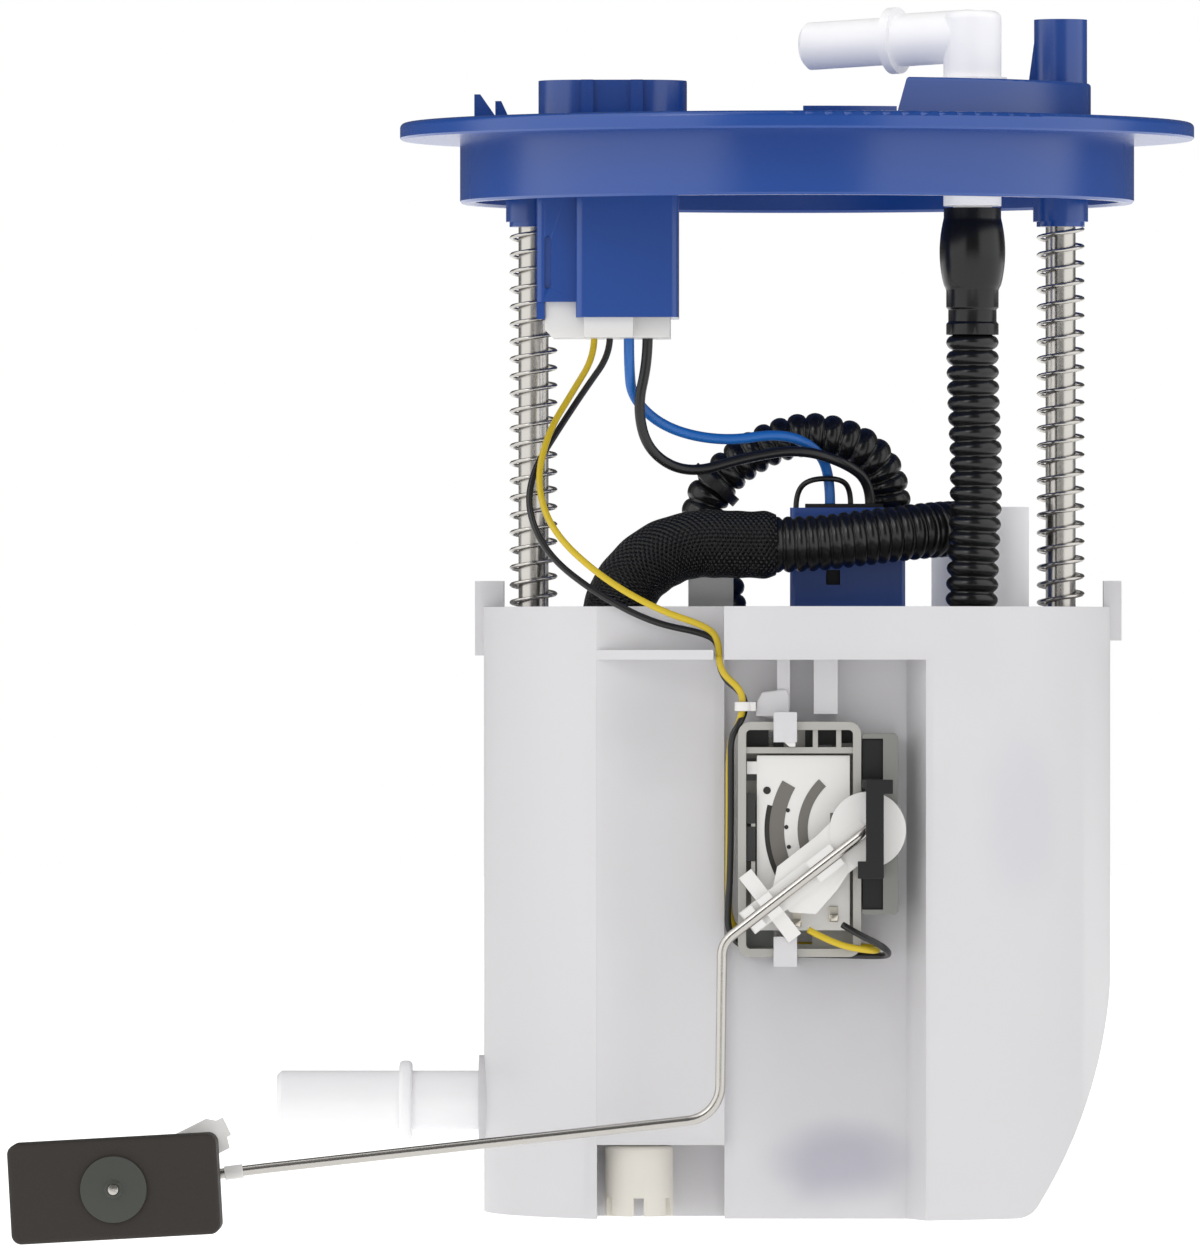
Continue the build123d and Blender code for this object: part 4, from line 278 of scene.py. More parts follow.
materials = {
    "blue_plastic": makeMaterial("BluePlastic", (0.005, 0.057, 0.29), 0.24, grain=0.03, tone=0.06, specular=0.65),
    "cap_plastic": makeMaterial("CapBlue", (0.014, 0.072, 0.34), 0.30, grain=0.03, specular=0.6),
    "natural_plastic": makeMaterial(
        "NaturalPlastic", (0.82, 0.81, 0.825), 0.38, transmission=0.30, tone=0.02, grain=0.02,
    ),
    "low_port": makeMaterial("LowPort", (0.86, 0.855, 0.865), 0.36, tone=0.01, grain=0.02),
    # The outlet elbow's and the filter tower's plastics carry a painted glow
    "port_plastic": makeMaterial(
        "PortPlastic", (0.98, 0.975, 0.985), 0.34, transmission=0.22, tone=0.01, grain=0.02, glow=0.10,
    ),
    "tower_plastic": makeMaterial(
        "TowerPlastic", (0.90, 0.90, 0.92), 0.35, transmission=0.22, tone=0.02, grain=0.02, glow=0.08,
    ),
    "white_plastic": makeMaterial("WhitePlastic", (0.74, 0.73, 0.71), 0.42, tone=0.03, grain=0.03),
    "frame_plastic": makeMaterial("FramePlastic", (0.40, 0.39, 0.36), 0.45, tone=0.05, grain=0.04),
    "rail_plastic": makeMaterial("RailPlastic", (0.20, 0.20, 0.185), 0.45, tone=0.05, grain=0.04),
    "cream_plastic": makeMaterial("CreamPlastic", (0.80, 0.77, 0.70), 0.45, transmission=0.2, tone=0.03, grain=0.03),
    # painted shade: near black for the sender frame's windows and slots
    "recess_dark": makeMaterial("RecessDark", (0.020, 0.022, 0.020), 0.6, tone=0.2),
    # painted shade: grey patches on the sender frame's floor
    "recess_grey": makeMaterial("RecessGrey", (0.16, 0.17, 0.16), 0.5, tone=0.2),
    "clip_tin": makeMaterial("ClipTin", (0.72, 0.72, 0.71), 0.34, metallic=0.7, grain=0.02),
    "print_black": makeMaterial("PrintBlack", (0.016, 0.013, 0.011), 0.5),
    "black_plastic": makeMaterial("BlackPlastic", (0.010, 0.010, 0.011), 0.42, grain=0.04, specular=0.35),
    "black_hose": makeMaterial("HoseBlack", (0.006, 0.006, 0.006), 0.26, specular=0.45, grain=0.03),
    "dark_hose": makeMaterial("CuffBlack", (0.006, 0.006, 0.006), 0.22, specular=0.38, grain=0.02),
    "rubber": makeMaterial("Rubber", (0.015, 0.015, 0.015), 0.6),
    "black_lead": makeMaterial("LeadBlack", (0.008, 0.008, 0.009), 0.32, grain=0.02),
    "yellow_lead": makeMaterial("LeadYellow", (0.58, 0.42, 0.010), 0.36, grain=0.02),
    "blue_lead": makeMaterial("LeadBlue", (0.012, 0.14, 0.50), 0.34, grain=0.02),
    "steel": makeMaterial("Steel", (0.50, 0.48, 0.45), 0.24, metallic=1.0, grain=0.05, tone=0.10),
    "dark_metal": makeMaterial("DarkMetal", (0.060, 0.064, 0.056), 0.40, metallic=0.4, grain=0.1, tone=0.3),
    "brass": makeMaterial("Brass", (0.62, 0.58, 0.50), 0.28, metallic=1.0),
    "ceramic": makeMaterial("Ceramic", (0.74, 0.73, 0.71), 0.5, tone=0.02),
    "track": makeMaterial("Track", (0.15, 0.14, 0.125), 0.5, tone=0.25, scale=2500.0),
    "paper": makeMaterial("Paper", (0.62, 0.58, 0.44), 0.8),
    "mesh": makeMaterial("Mesh", (0.10, 0.13, 0.20), 0.7),
    "float_foam": makeMaterial(
        "FloatFoam", (0.032, 0.027, 0.023), 0.62, grain=0.5, tone=0.14, scale=2200.0, specular=0.25,
    ),
}


def makeBraidMaterial():
    material = makeMaterial("Braid", (0.006, 0.006, 0.006), 0.35, specular=0.35)
    tree = material.node_tree
    shader = tree.nodes["Principled BSDF"]
    weave = addGroup(tree, braidGroup, -500, -300, Around=26.0, Along=19.0)
    ramp = addNode(tree, "ShaderNodeMix", -250, -100, data_type="RGBA")
    ramp.inputs[6].default_value = (0.002, 0.002, 0.002, 1)
    ramp.inputs[7].default_value = (0.018, 0.018, 0.018, 1)
    tree.links.new(weave.outputs["Mask"], ramp.inputs[0])
    tree.links.new(ramp.outputs[2], shader.inputs["Base Color"])
    tree.links.new(weave.outputs["Normal"], shader.inputs["Normal"])
    return material


# The reservoir's wall, with painted shade of the strainer and the pump behind it, under the shelf, down the facet below
# it and in the sender's pocket
def makeWallMaterial():
    material = makeMaterial("ReservoirWall", (0.82, 0.81, 0.825), 0.38, transmission=0.30, tone=0.02, grain=0.02)
    tree = material.node_tree
    shader = tree.nodes["Principled BSDF"]
    colour = shader.inputs["Base Color"].links[0].from_socket
    # painted shade blots: centre, radii, amount and the tint each multiplies in
    paintedShades = [
        ((0.0085, -0.046, -0.2030), (0.0150, 0.02, 0.0085), 0.75, (0.66, 0.66, 0.76, 1)),
        ((0.0440, -0.044, -0.1350), (0.0100, 0.02, 0.0220), 0.45, (0.88, 0.88, 0.94, 1)),
        ((-0.0270, -0.050, -0.1150), (0.0135, 0.004, 0.0160), 0.60, (0.80, 0.80, 0.80, 1)),
        ((-0.0270, -0.050, -0.1400), (0.0135, 0.004, 0.0450), 0.60, (0.90, 0.90, 0.90, 1)),
        ((0.0050, -0.046, -0.1700), (0.0220, 0.004, 0.0520), 0.70, (0.84, 0.84, 0.85, 1)),
    ]
    for index, (centre, radii, amount, tint) in enumerate(paintedShades):
        shadeBlot = addGroup(tree, paintedShadeGroup, -700, -400 - 250 * index, Centre=centre, Radii=radii, Amount=amount)
        mix = addNode(tree, "ShaderNodeMix", -400, -400 - 250 * index, data_type="RGBA", blend_type="MULTIPLY")
        mix.inputs[7].default_value = tint
        tree.links.new(shadeBlot.outputs["Mask"], mix.inputs[0])
        tree.links.new(colour, mix.inputs[6])
        colour = mix.outputs[2]
    tree.links.new(colour, shader.inputs["Base Color"])
    return material


materials["braid"] = makeBraidMaterial()
materials["reservoir_wall"] = makeWallMaterial()
print("materials made")

# ---- frame pieces take their finish from the record, apart from these
ownFinish = {
    "reservoir_shell": "reservoir_wall",
    "crossover_port": "low_port",
    "outlet_elbow": "port_plastic",
    "filter_case": "tower_plastic",
    "filter_lid": "tower_plastic",
    "pump_cap": "cap_plastic",
    "ground_clip": "clip_tin",
    "sender_frame": "frame_plastic",
    "sender_rail": "rail_plastic",
    "resistor_tracks": "track",
}
slotOf = {part["node"]: part["material_slot"] for part in frame["record"]["subparts"]}
bevelOf = {"flange_cover": 0.35, "reservoir_shell": 0.4, "inner_plug": 0.3, "pump_cap": 0.35, "outlet_elbow": 0.3}


def finishNode(name):
    piece = nodes[name]
    mesh = piece.data
    mesh.materials.clear()
    mesh.materials.append(materials[ownFinish.get(name, slotOf[name])])
    if mesh.has_custom_normals:
        bpy.context.view_layer.objects.active = piece
        bpy.ops.mesh.customdata_custom_splitnormals_clear()
    mesh.polygons.foreach_set("use_smooth", [True] * len(mesh.polygons))
    weld = piece.modifiers.new("Weld", "WELD")
    weld.merge_threshold = 0.002 * mm
    bevel = piece.modifiers.new("Bevel", "BEVEL")
    bevel.width = bevelOf.get(name, 0.12) * mm
    bevel.segments = 2
    bevel.limit_method = "ANGLE"
    bevel.angle_limit = math.radians(32)
    bevel.use_clamp_overlap = True
    normals = piece.modifiers.new("Normals", "WEIGHTED_NORMAL")
    normals.mode = "FACE_AREA"


for name in nodes:
    finishNode(name)
print("frame pieces finished")


# ---- tubes
def curveOf(name, points, order=3):
    data = bpy.data.curves.new(name, "CURVE")
    data.dimensions = "3D"
    data.resolution_u = 24
    spline = data.splines.new("NURBS")
    spline.points.add(len(points) - 1)
    for point, place in zip(spline.points, points):
        point.co = (*[value * mm for value in place], 1.0)
    spline.order_u = order
    spline.use_endpoint_u = True
    piece = bpy.data.objects.new(name, data)
    bpy.context.scene.collection.objects.link(piece)
    return piece


# Evenly spaced places along the route's curve, in metres
def lineOf(points, step):
    guide = curveOf("Guide", points)
    bpy.context.view_layer.update()
    mesh = guide.evaluated_get(bpy.context.evaluated_depsgraph_get()).to_mesh()
    places = np.array([vertex.co for vertex in mesh.vertices])
    data = guide.data
    bpy.data.objects.remove(guide)
    bpy.data.curves.remove(data)
    lengths = np.concatenate([[0], np.cumsum(np.linalg.norm(np.diff(places, axis=0), axis=1))])
    count = max(2, round(lengths[-1] / step))
    wanted = np.linspace(0, lengths[-1], count + 1)
    even = np.stack([np.interp(wanted, lengths, places[:, axis]) for axis in range(3)], axis=1)
    return even, wanted


# Normals and binormals that don't twist
def framesAlong(places):
    tangents = np.gradient(places, axis=0)
    tangents /= np.linalg.norm(tangents, axis=1)[:, None]
    seed = np.array([0.0, -1.0, 0.0])
    if abs(tangents[0] @ seed) > 0.9:
        seed = np.array([1.0, 0.0, 0.0])
    normal = seed - tangents[0] * (seed @ tangents[0])
    normals = []
    for tangent in tangents:
        normal = normal - tangent * (normal @ tangent)
        normal = normal / np.linalg.norm(normal)
        normals.append(normal)
    normals = np.array(normals)
    return normals, np.cross(tangents, normals)


def tubeMesh(name, places, distances, radii, sides, material, uvScale=None):
    normals, binormals = framesAlong(places)
    angles = np.linspace(0, 2 * math.pi, sides, endpoint=False)
    ring = np.cos(angles)[None, :, None] * normals[:, None] + np.sin(angles)[None, :, None] * binormals[:, None]
    vertices = (places[:, None] + ring * np.asarray(radii)[:, None, None]).reshape(-1, 3)
    rows = len(places)
    faces = []
    uvs = []
    for row in range(rows - 1):
        for side in range(sides):
            after = (side + 1) % sides
            faces.append((row * sides + side, row * sides + after, (row + 1) * sides + after, (row + 1) * sides + side))
            if uvScale:
                left, right = side / sides, (side + 1) / sides
                low, high = distances[row] / uvScale, distances[row + 1] / uvScale
                uvs += [(left, low), (right, low), (right, high), (left, high)]
    faces.append(tuple(range(sides))[::-1])
    faces.append(tuple((rows - 1) * sides + side for side in range(sides)))
    if uvScale:
        uvs += [(0, 0)] * (2 * sides)
    mesh = bpy.data.meshes.new(name)
    mesh.from_pydata(vertices.tolist(), [], faces)
    mesh.polygons.foreach_set("use_smooth", [True] * (len(faces) - 2) + [False, False])
    if uvScale:
        layer = mesh.uv_layers.new(name="UVMap")
        layer.data.foreach_set("uv", np.array(uvs).ravel())
    mesh.materials.append(material)
    piece = bpy.data.objects.new(name, mesh)
    bpy.context.scene.collection.objects.link(piece)
    return piece


# Round ridges with narrow valleys
def ridgeRadii(distances, valley, ridge, pitch):
    wave = np.abs(np.sin(math.pi * distances / pitch)) ** 0.55
    return valley + (ridge - valley) * wave


def ringedHose(name, route, valley, ridge, pitch):
    places, distances = lineOf(route, pitch * mm / 10)
    radii = ridgeRadii(distances, valley * mm, ridge * mm, pitch * mm)
    return tubeMesh(name, places, distances, radii, 32, materials["black_hose"])


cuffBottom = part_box("hose_cuff")[0].z / mm
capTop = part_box("pump_connector")[1].z / mm - 0.8
hoses = {
    "outlet_hose": dict(
        route=[(34.8, -25.0, cuffBottom + 4.0), (34.8, -25.0, -50.0), (35.8, -25.0, -68.0), (34.4, -25.0, -94.0),
               (34.4, -25.0, -111.5)],
        valley=3.85, ridge=5.2, pitch=3.0,
    ),
    "loop_hose": dict(
        route=[(18.4, 3.0, capTop), (18.4, 3.0, -67.4), (12.4, -0.8, -60.6), (1.0, -1.8, -58.0),
               (-11.4, -1.6, -63.4), (-19.6, -1.5, -72.6), (-17.4, -1.5, -81.6), (-14.0, -1.0, -90.0),
               (-14.0, -1.0, -111.0)],
        valley=3.3, ridge=4.4, pitch=3.2,
    ),
    "jet_hose": dict(
        route=[(33.4, 5.6, -77.7), (33.4, -7.0, -77.7), (27.4, -14.8, -77.9), (15.0, -19.6, -79.4),
               (2.0, -20.9, -81.0), (-6.2, -21.3, -81.0)],
        valley=4.7, ridge=5.6, pitch=2.3,
    ),
    "jet_feed_pipe": dict(
        route=[(-37.3, -30.1, -105.3), (-37.8, -32.6, -116.0), (-35.4, -37.6, -146.0), (-31.2, -40.0, -172.0),
               (-31.2, -40.0, -193.2)],
        valley=3.3, ridge=4.3, pitch=3.2,
    ),
}
bodyOf = {name: nodes[name]["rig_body"] for name in nodes}


# Pieces between cover and reservoir get a mesh of their own
def shortenWithSlide(piece):
    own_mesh(piece)


def standFor(piece, name):
    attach(piece, bodyOf[name])
    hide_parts(name)


for name, hose in hoses.items():
    piece = ringedHose(name.title().replace("_", ""), **hose)
    standFor(piece, name)
    if name == "outlet_hose":
        shortenWithSlide(piece)

sleeveRoute = [(-4.2, -21.2, -81.0), (-10.4, -21.5, -81.0), (-22.4, -22.4, -80.6), (-31.6, -24.4, -85.6),
               (-36.8, -27.6, -94.6), (-37.4, -30.4, -106.4)]
places, distances = lineOf(sleeveRoute, 0.4 * mm)
sleeveRadius = 6.7
sleeveUneven = 0.12
mouthLength = 2.5
mouthShare = 0.90
swell = np.full(len(distances), sleeveRadius * mm)
swell += sleeveUneven * mm * np.sin(distances / mm * 0.9) * np.sin(distances / mm * 0.37)
mouth = np.clip(distances / (mouthLength * mm), 0, 1)
swell = swell * (mouthShare + (1 - mouthShare) * np.sin(mouth * math.pi / 2))
sleeve = tubeMesh("BraidedSleeve", places, distances, swell, 48, materials["braid"], uvScale=20 * mm)
standFor(sleeve, "braided_sleeve")

# ---- leads
leadRoutes = {
    "sender_lead_yellow_upper": (0.66, [
        (-40.3, -20.0, -39.6), (-40.3, -20.0, -43.6), (-44.4, -28.8, -50.6), (-49.4, -37.8, -59.2),
        (-51.4, -45.0, -69.2), (-48.2, -51.0, -78.7), (-38.7, -53.8, -87.5), (-27.5, -55.6, -94.0),
        (-17.8, -56.0, -97.2), (-15.35, -56.0, -99.8), (-15.35, -56.0, -102.8),
    ]),
    "sender_lead_black_upper": (0.66, [
        (-37.2, -20.0, -39.6), (-37.2, -20.0, -43.2), (-41.8, -25.4, -49.8), (-47.2, -33.0, -58.2),
        (-52.1, -41.4, -66.4), (-53.2, -47.3, -74.4), (-49.2, -49.8, -83.2), (-39.9, -51.0, -90.6),
        (-28.5, -51.6, -96.6), (-18.0, -53.2, -98.6), (-15.35, -53.4, -100.6), (-15.35, -53.4, -102.8),
    ]),
    "pump_lead_blue": (1.04, [
        (-33.4, -20.0, -39.6), (-33.4, -20.0, -45.6), (-32.8, -16.8, -52.0), (-26.0, -13.6, -58.0),
        (-14.6, -12.0, -60.4), (-3.0, -11.0, -58.6), (4.0, -8.4, -61.6), (6.6, -4.8, -67.0), (6.6, -4.8, -73.0),
    ]),
    "pump_lead_black": (1.04, [
        (-29.7, -20.0, -39.6), (-29.7, -20.0, -44.6), (-31.8, -20.6, -53.8), (-29.6, -18.6, -62.6),
        (-21.6, -16.4, -67.0), (-10.4, -14.2, -63.6), (0.4, -12.8, -61.8), (9.2, -10.6, -64.4),
        (14.6, -4.8, -68.2), (14.6, -4.8, -73.0),
    ]),
    "ground_lead": (0.55, [
        (-0.2, -6.2, -73.8), (-0.2, -6.2, -70.6), (2.2, -7.6, -67.8), (8.6, -7.4, -67.6), (10.7, -5.0, -69.8),
        (10.7, -5.0, -73.0),
    ]),
    "sender_lead_yellow_lower": (0.66, [
        (-15.35, -56.0, -102.8), (-15.35, -56.0, -106.0), (-10.8, -54.9, -109.8), (-10.7, -54.8, -113.4),
        (-11.1, -54.5, -115.2), (-11.8, -52.8, -117.2), (-13.4, -51.2, -120.2), (-13.4, -51.0, -136.0),
        (-13.5, -50.4, -149.6), (-13.2, -48.4, -156.2), (-8.4, -48.0, -159.8), (9.0, -48.0, -160.2),
        (14.4, -48.6, -160.3), (16.2, -52.8, -160.8), (14.7, -57.9, -161.0), (7.6, -59.2, -159.8),
        (2.2, -58.6, -156.8),
    ]),
    "sender_lead_black_lower": (0.66, [
        (-15.35, -53.4, -102.8), (-15.35, -53.4, -106.8), (-10.4, -53.0, -110.6), (-10.2, -53.2, -114.0),
        (-11.4, -55.5, -116.6), (-13.0, -55.8, -119.0), (-13.0, -54.8, -124.5), (-13.0, -54.5, -138.3),
        (-13.3, -53.2, -149.6), (-13.9, -49.8, -157.6), (-9.2, -48.0, -161.6), (9.0, -48.0, -162.0),
        (16.2, -48.4, -162.2), (18.4, -53.4, -161.8), (16.8, -58.9, -160.0), (11.8, -59.7, -157.6),
        (8.9, -58.8, -155.8),
    ]),
}
# The blue lead runs mostly level; it is baked where it stands with its CAD piece hidden, and the points listed for it
# are not read. The others follow their pieces' bodies
leadBends = {"pump_lead_blue": ((-33.4, -20.0, -55.0), (4.0, -8.4, -55.0))}
for name, (radius, route) in leadRoutes.items():
    places, distances = lineOf(route, 0.5 * mm)
    radii = np.full(len(places), radius * mm)
    piece = tubeMesh(name.title().replace("_", ""), places, distances, radii, 16, materials[slotOf[name]])
    if name in leadBends:
        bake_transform(piece)
        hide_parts(name)
        continue
    standFor(piece, name)
    if bodyOf[name] == "flange":
        shortenWithSlide(piece)

# ---- springs
springWire = 0.40
springRadius = 4.4
springTurns = 23
for name in ("return_spring_left", "return_spring_right"):
    low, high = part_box(name)
    middle = (low + high) / 2
    turns = np.linspace(0, springTurns, springTurns * 20 + 1)
    angles = turns * 2 * math.pi
    heights = low.z + springWire * mm + (high.z - low.z - 2 * springWire * mm) * turns / springTurns
    places = np.stack([
        middle.x + springRadius * mm * np.cos(angles), middle.y + springRadius * mm * np.sin(angles), heights,
    ], axis=1)
    radii = np.full(len(places), springWire * mm)
    piece = tubeMesh(name.title().replace("_", ""), places, turns, radii, 10, materials["steel"])
    standFor(piece, name)
    shortenWithSlide(piece)
print("hoses, leads and springs made")


# ---- small things on the level sender
# Flat outlines in X and Z, given depth between two Y values in mm
def prisms(name, outlines, back, front, material, body, bevelWidth=0.0):
    bm = bmesh.new()
    for outline in outlines:
        rings = [[bm.verts.new((x * mm, y * mm, z * mm)) for x, z in outline] for y in (back, front)]
        bm.faces.new(rings[0])
        bm.faces.new(rings[1][::-1])
        for index in range(len(outline)):
            after = (index + 1) % len(outline)
            bm.faces.new((rings[0][index], rings[1][index], rings[1][after], rings[0][after]))
    bmesh.ops.recalc_face_normals(bm, faces=bm.faces)
    mesh = bpy.data.meshes.new(name)
    bm.to_mesh(mesh)
    bm.free()
    mesh.materials.append(materials[material])
    piece = bpy.data.objects.new(name, mesh)
    bpy.context.scene.collection.objects.link(piece)
    if bevelWidth:
        bevel = piece.modifiers.new("Bevel", "BEVEL")
        bevel.width = bevelWidth * mm
        bevel.segments = 2
    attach(piece, body)


def boxOutline(left, right, top, bottom):
    return [(left, bottom), (right, bottom), (right, top), (left, top)]


def ringOutline(centre, radius, width, start, end, steps=24):
    angles = [math.radians(start + (end - start) * step / steps) for step in range(steps + 1)]
    outside, inside = (
        [(centre[0] + reach * math.cos(a), centre[1] + reach * math.sin(a)) for a in angles]
        for reach in (radius + width / 2, radius - width / 2)
    )
    return outside + inside[::-1]


def dotOutline(x, z, radius):
    return [(x + radius * math.cos(i * math.pi / 8), z + radius * math.sin(i * math.pi / 8)) for i in range(16)]


pivot = (13.9, -137.2)
sender = {
    "cardFront": -55.4,
    "frameFloor": -51.9,
    "windows": [boxOutline(-9.9, -5.6, -117.7, -120.9), boxOutline(-4.6, -2.6, -118.4, -121.2),
                boxOutline(1.6, 3.1, -117.7, -121.3), boxOutline(4.1, 7.7, -117.7, -120.6),
                boxOutline(8.7, 10.9, -117.7, -120.2)],
    "slots": [boxOutline(-9.9, -8.2, -130.0, -136.0), boxOutline(-9.9, -8.2, -136.6, -143.4)],
    "dots": [dotOutline(-5.9, -129.5, 0.75), dotOutline(-1.8, -133.4, 0.42), dotOutline(-2.1, -136.7, 0.42),
             dotOutline(-1.6, -140.6, 0.42)],
    "shades": [boxOutline(-10.0, -4.6, -156.6, -160.4), boxOutline(-10.0, -8.0, -123.2, -127.6)],
    "edge": [ringOutline(pivot, 19.8, 1.0, 166, 207)],
    "trackEnd": [ringOutline(pivot, 12.8, 2.0, 134, 150.2, 10)],
    "mark": [boxOutline(6.5, 7.1, -133.9, -138.4)],
    "tab": [boxOutline(-9.9, -7.7, -123.8, -126.3)],
    "wedge": [[(-8.0, -112.4), (-6.9, -110.2), (-2.2, -109.6), (-1.6, -110.6), (-1.6, -115.4), (-4.4, -115.6),
               (-8.0, -114.8)]],
    "hookTip": [[(-4.7, -118.0), (-0.3, -118.0), (-0.3, -120.9), (-1.5, -120.9)]],
    "slit": [boxOutline(-50.05, -48.75, -20.0, -30.2)],  # backing of the latch slot in the cover's socket
}
frameFloor = sender["frameFloor"]
cardFront = sender["cardFront"]
# Painted shade: dark sheets in the frame's windows and slots
prisms("FrameWindows", sender["windows"], frameFloor, frameFloor - 0.25, "recess_dark", "reservoir")
prisms("FrameSlots", sender["slots"], -55.9, -56.6, "recess_dark", "reservoir")
# Painted shade: grey patches on the frame floor
prisms("FrameShade", sender["shades"], frameFloor, frameFloor - 0.2, "recess_grey", "reservoir")
prisms("TrackEdge", sender["edge"], cardFront, cardFront - 0.06, "print_black", "reservoir")
prisms("SlitBack", sender["slit"], -28.4, -29.0, "cap_plastic", "flange")
prisms("TrackEnd", sender["trackEnd"], cardFront, cardFront - 0.07, "track", "reservoir")
prisms("TrackDots", sender["dots"], cardFront, cardFront - 0.1, "print_black", "reservoir")
prisms("CardMark", sender["mark"], cardFront, cardFront - 0.06, "track", "reservoir")
prisms("CardTab", sender["tab"], cardFront + 0.8, cardFront, "ceramic", "reservoir", 0.1)
prisms("TieWedge", sender["wedge"], -46.05, -54.2, "natural_plastic", "reservoir", 0.3)
prisms("HookTip", sender["hookTip"], -57.05, -58.2, "white_plastic", "reservoir", 0.15)
print("sender details made")

# ---- studio
world = bpy.data.worlds.new("Studio")
bpy.context.scene.world = world
world.use_nodes = True
studio = {
    "boxes": 1.5,  # two wide soft boxes, left and right, as glossy surfaces mirror them
    "dark": 0.10,
    "boxFrom": (18, 30),  # degrees from the front, where each box begins and ends
    "boxTo": (98, 118),
    "below": 1.0,  # soft light on everything else
    "above": 0.87,
}


# Mirrored light comes from two soft boxes, soft light from all round, and the view behind is plain white
def lightWorld(tree):
    link = tree.links.new
    backdrop = tree.nodes["Background"]
    backdrop.inputs["Color"].default_value = (1, 1, 1, 1)
    direction = addNode(tree, "ShaderNodeTexCoord", -1400, 0)
    parts = addNode(tree, "ShaderNodeSeparateXYZ", -1200, 0)
    sideways = addNode(tree, "ShaderNodeMath", -1000, 100, operation="ABSOLUTE")
    forward = addNode(tree, "ShaderNodeMath", -1000, -100, operation="MULTIPLY")
    forward.inputs[1].default_value = -1.0
    angle = addNode(tree, "ShaderNodeMath", -800, 0, operation="ARCTAN2")
    link(direction.outputs["Generated"], parts.inputs[0])
    link(parts.outputs["X"], sideways.inputs[0])
    link(parts.outputs["Y"], forward.inputs[0])
    link(sideways.outputs[0], angle.inputs[0])
    link(forward.outputs[0], angle.inputs[1])

    def ramp(source, span, levels, x, y):
        node = addNode(tree, "ShaderNodeMapRange", x, y, interpolation_type="SMOOTHSTEP")
        node.inputs["From Min"].default_value, node.inputs["From Max"].default_value = span
        node.inputs["To Min"].default_value, node.inputs["To Max"].default_value = levels
        link(source, node.inputs["Value"])
        return node

    near = ramp(angle.outputs[0], [math.radians(a) for a in studio["boxFrom"]], (0.0, 1.0), -600, 200)
    far = ramp(angle.outputs[0], [math.radians(a) for a in studio["boxTo"]], (1.0, 0.0), -600, 0)
    soft = ramp(parts.outputs["Z"], (-0.1, 0.7), (studio["below"], studio["above"]), -600, -300)
    boxes = addNode(tree, "ShaderNodeMath", -400, 100, operation="MULTIPLY")
    mirrored = addNode(tree, "ShaderNodeMapRange", -250, 100)
    mirrored.inputs["To Min"].default_value = studio["dark"]
    mirrored.inputs["To Max"].default_value = studio["boxes"]
    rays = addNode(tree, "ShaderNodeLightPath", -400, 500)
    byGloss = addNode(tree, "ShaderNodeMix", -50, 100, data_type="FLOAT")
    byCamera = addNode(tree, "ShaderNodeMix", 120, 100, data_type="FLOAT")
    byCamera.inputs[3].default_value = 1.0
    link(near.outputs[0], boxes.inputs[0])
    link(far.outputs[0], boxes.inputs[1])
    link(boxes.outputs[0], mirrored.inputs["Value"])
    link(rays.outputs["Is Glossy Ray"], byGloss.inputs[0])
    link(soft.outputs[0], byGloss.inputs[2])
    link(mirrored.outputs[0], byGloss.inputs[3])
    link(rays.outputs["Is Camera Ray"], byCamera.inputs[0])
    link(byGloss.outputs[0], byCamera.inputs[2])
    link(byCamera.outputs[0], backdrop.inputs["Strength"])


lightWorld(world.node_tree)
bpy.context.scene.view_settings.view_transform = "Standard"

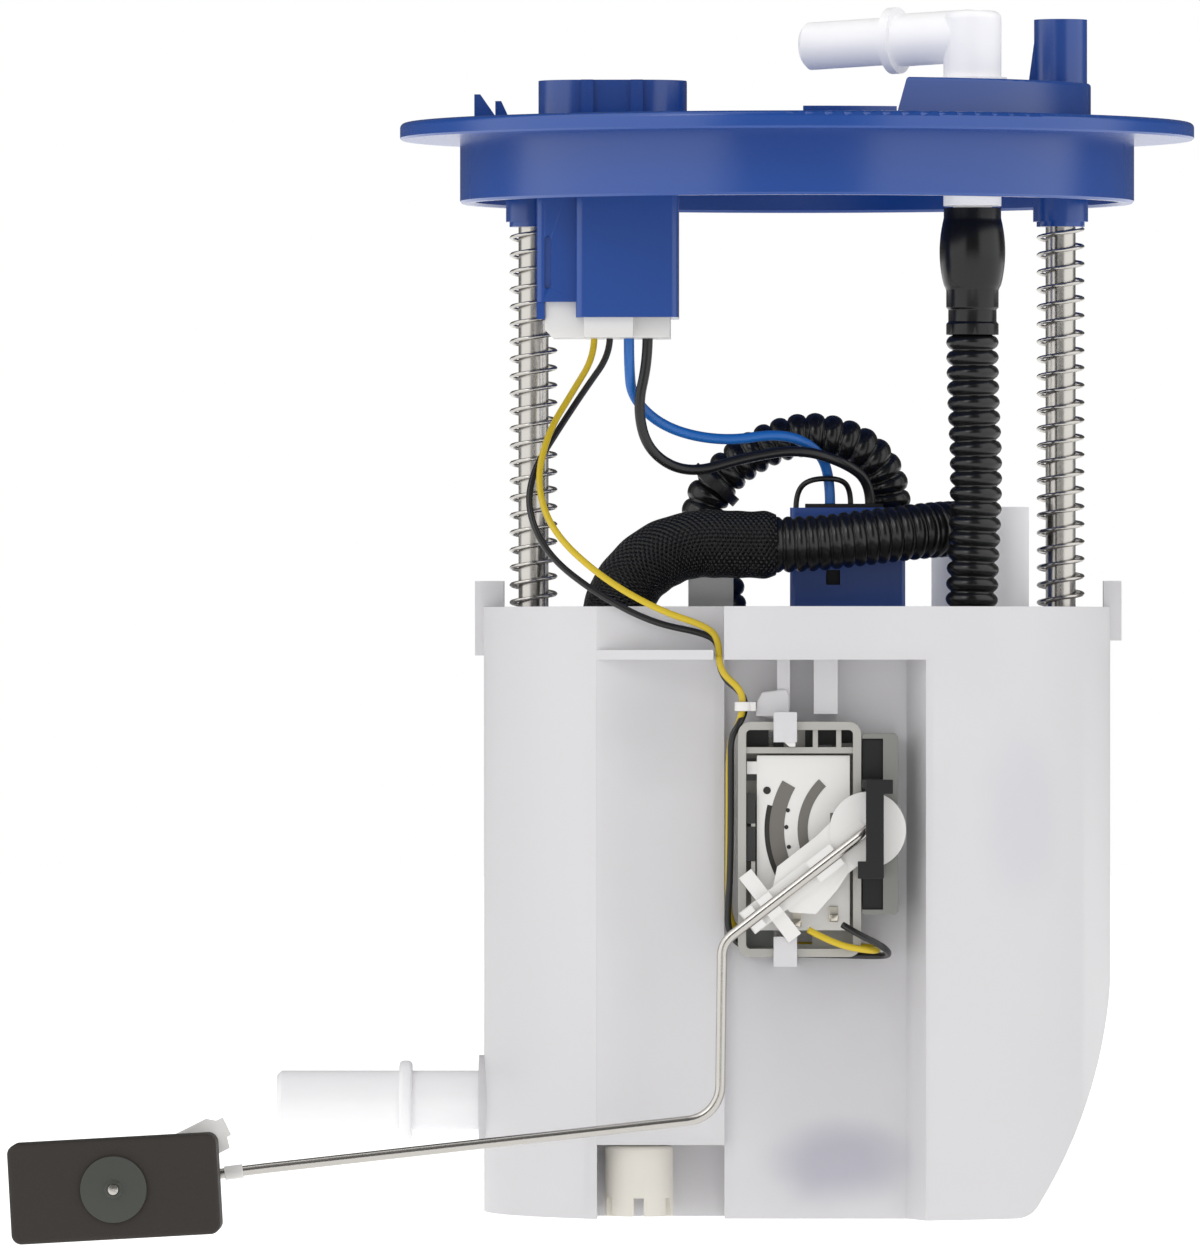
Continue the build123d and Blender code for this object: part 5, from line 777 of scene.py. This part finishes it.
# A white floor, lit like the backdrop and seen only from above; the float swings lower than the reservoir
floorMesh = bpy.data.meshes.new("Floor")
floorMesh.from_pydata([(-6, -6, 0), (6, -6, 0), (6, 6, 0), (-6, 6, 0)], [], [(0, 1, 2, 3)])
floor = bpy.data.objects.new("Floor", floorMesh)
floorDrop = 14.0
floor.location.z = cadLow[2] - floorDrop * mm
bpy.context.scene.collection.objects.link(floor)
floorMaterial = bpy.data.materials.new("FloorWhite")
floorMaterial.use_nodes = True
floorShader = floorMaterial.node_tree.nodes["Principled BSDF"]
floorShader.inputs["Base Color"].default_value = (0.3, 0.3, 0.3, 1)
floorShader.inputs["Roughness"].default_value = 0.9
floorShader.inputs["Emission Color"].default_value = (1, 1, 1, 1)
floorShader.inputs["Emission Strength"].default_value = 1.0
floorMesh.materials.append(floorMaterial)
floorTree = floorMaterial.node_tree
floorSide = addNode(floorTree, "ShaderNodeNewGeometry", -400, 300)
floorClear = addNode(floorTree, "ShaderNodeBsdfTransparent", 0, -300)
floorMix = addNode(floorTree, "ShaderNodeMixShader", 300, 200)
floorTree.links.new(floorSide.outputs["Backfacing"], floorMix.inputs[0])
floorTree.links.new(floorShader.outputs[0], floorMix.inputs[1])
floorTree.links.new(floorClear.outputs[0], floorMix.inputs[2])
floorTree.links.new(floorMix.outputs[0], floorTree.nodes["Material Output"].inputs["Surface"])
floor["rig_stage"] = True


def softbox(name, place, target, width, height, power):
    light = bpy.data.lights.new(name, "AREA")
    light.shape = "RECTANGLE"
    light.size = width
    light.size_y = height
    light.energy = power
    piece = bpy.data.objects.new(name, light)
    bpy.context.scene.collection.objects.link(piece)
    piece.location = place
    piece.rotation_euler = (Vector(target) - Vector(place)).to_track_quat("-Z", "Y").to_euler()


middle = (cadLow + cadHigh) / 2
softbox("KeyLight", (-0.9, -1.3, 0.9), middle, 0.5, 0.5, 2.5)

# ---- camera
distance = 3.2
pixelsPerMm = 5.0
photoHeight = 1252
eyeHeight = -101.9
aimPoint = (-39.4, 0, -97.1)
cameraData = bpy.data.cameras.new("Camera")
cameraData.lens = 36 * distance / mm * pixelsPerMm / photoHeight
cameraData.sensor_width = 36
cameraData.clip_start = 0.1
cameraData.clip_end = 20
camera = bpy.data.objects.new("Camera", cameraData)
bpy.context.scene.collection.objects.link(camera)
camera.location = (0, -distance, eyeHeight * mm)
aim = Vector([value * mm for value in aimPoint])
camera.rotation_euler = (aim - camera.location).to_track_quat("-Z", "Y").to_euler()
bpy.context.scene.camera = camera

low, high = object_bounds()
print("scene ready")
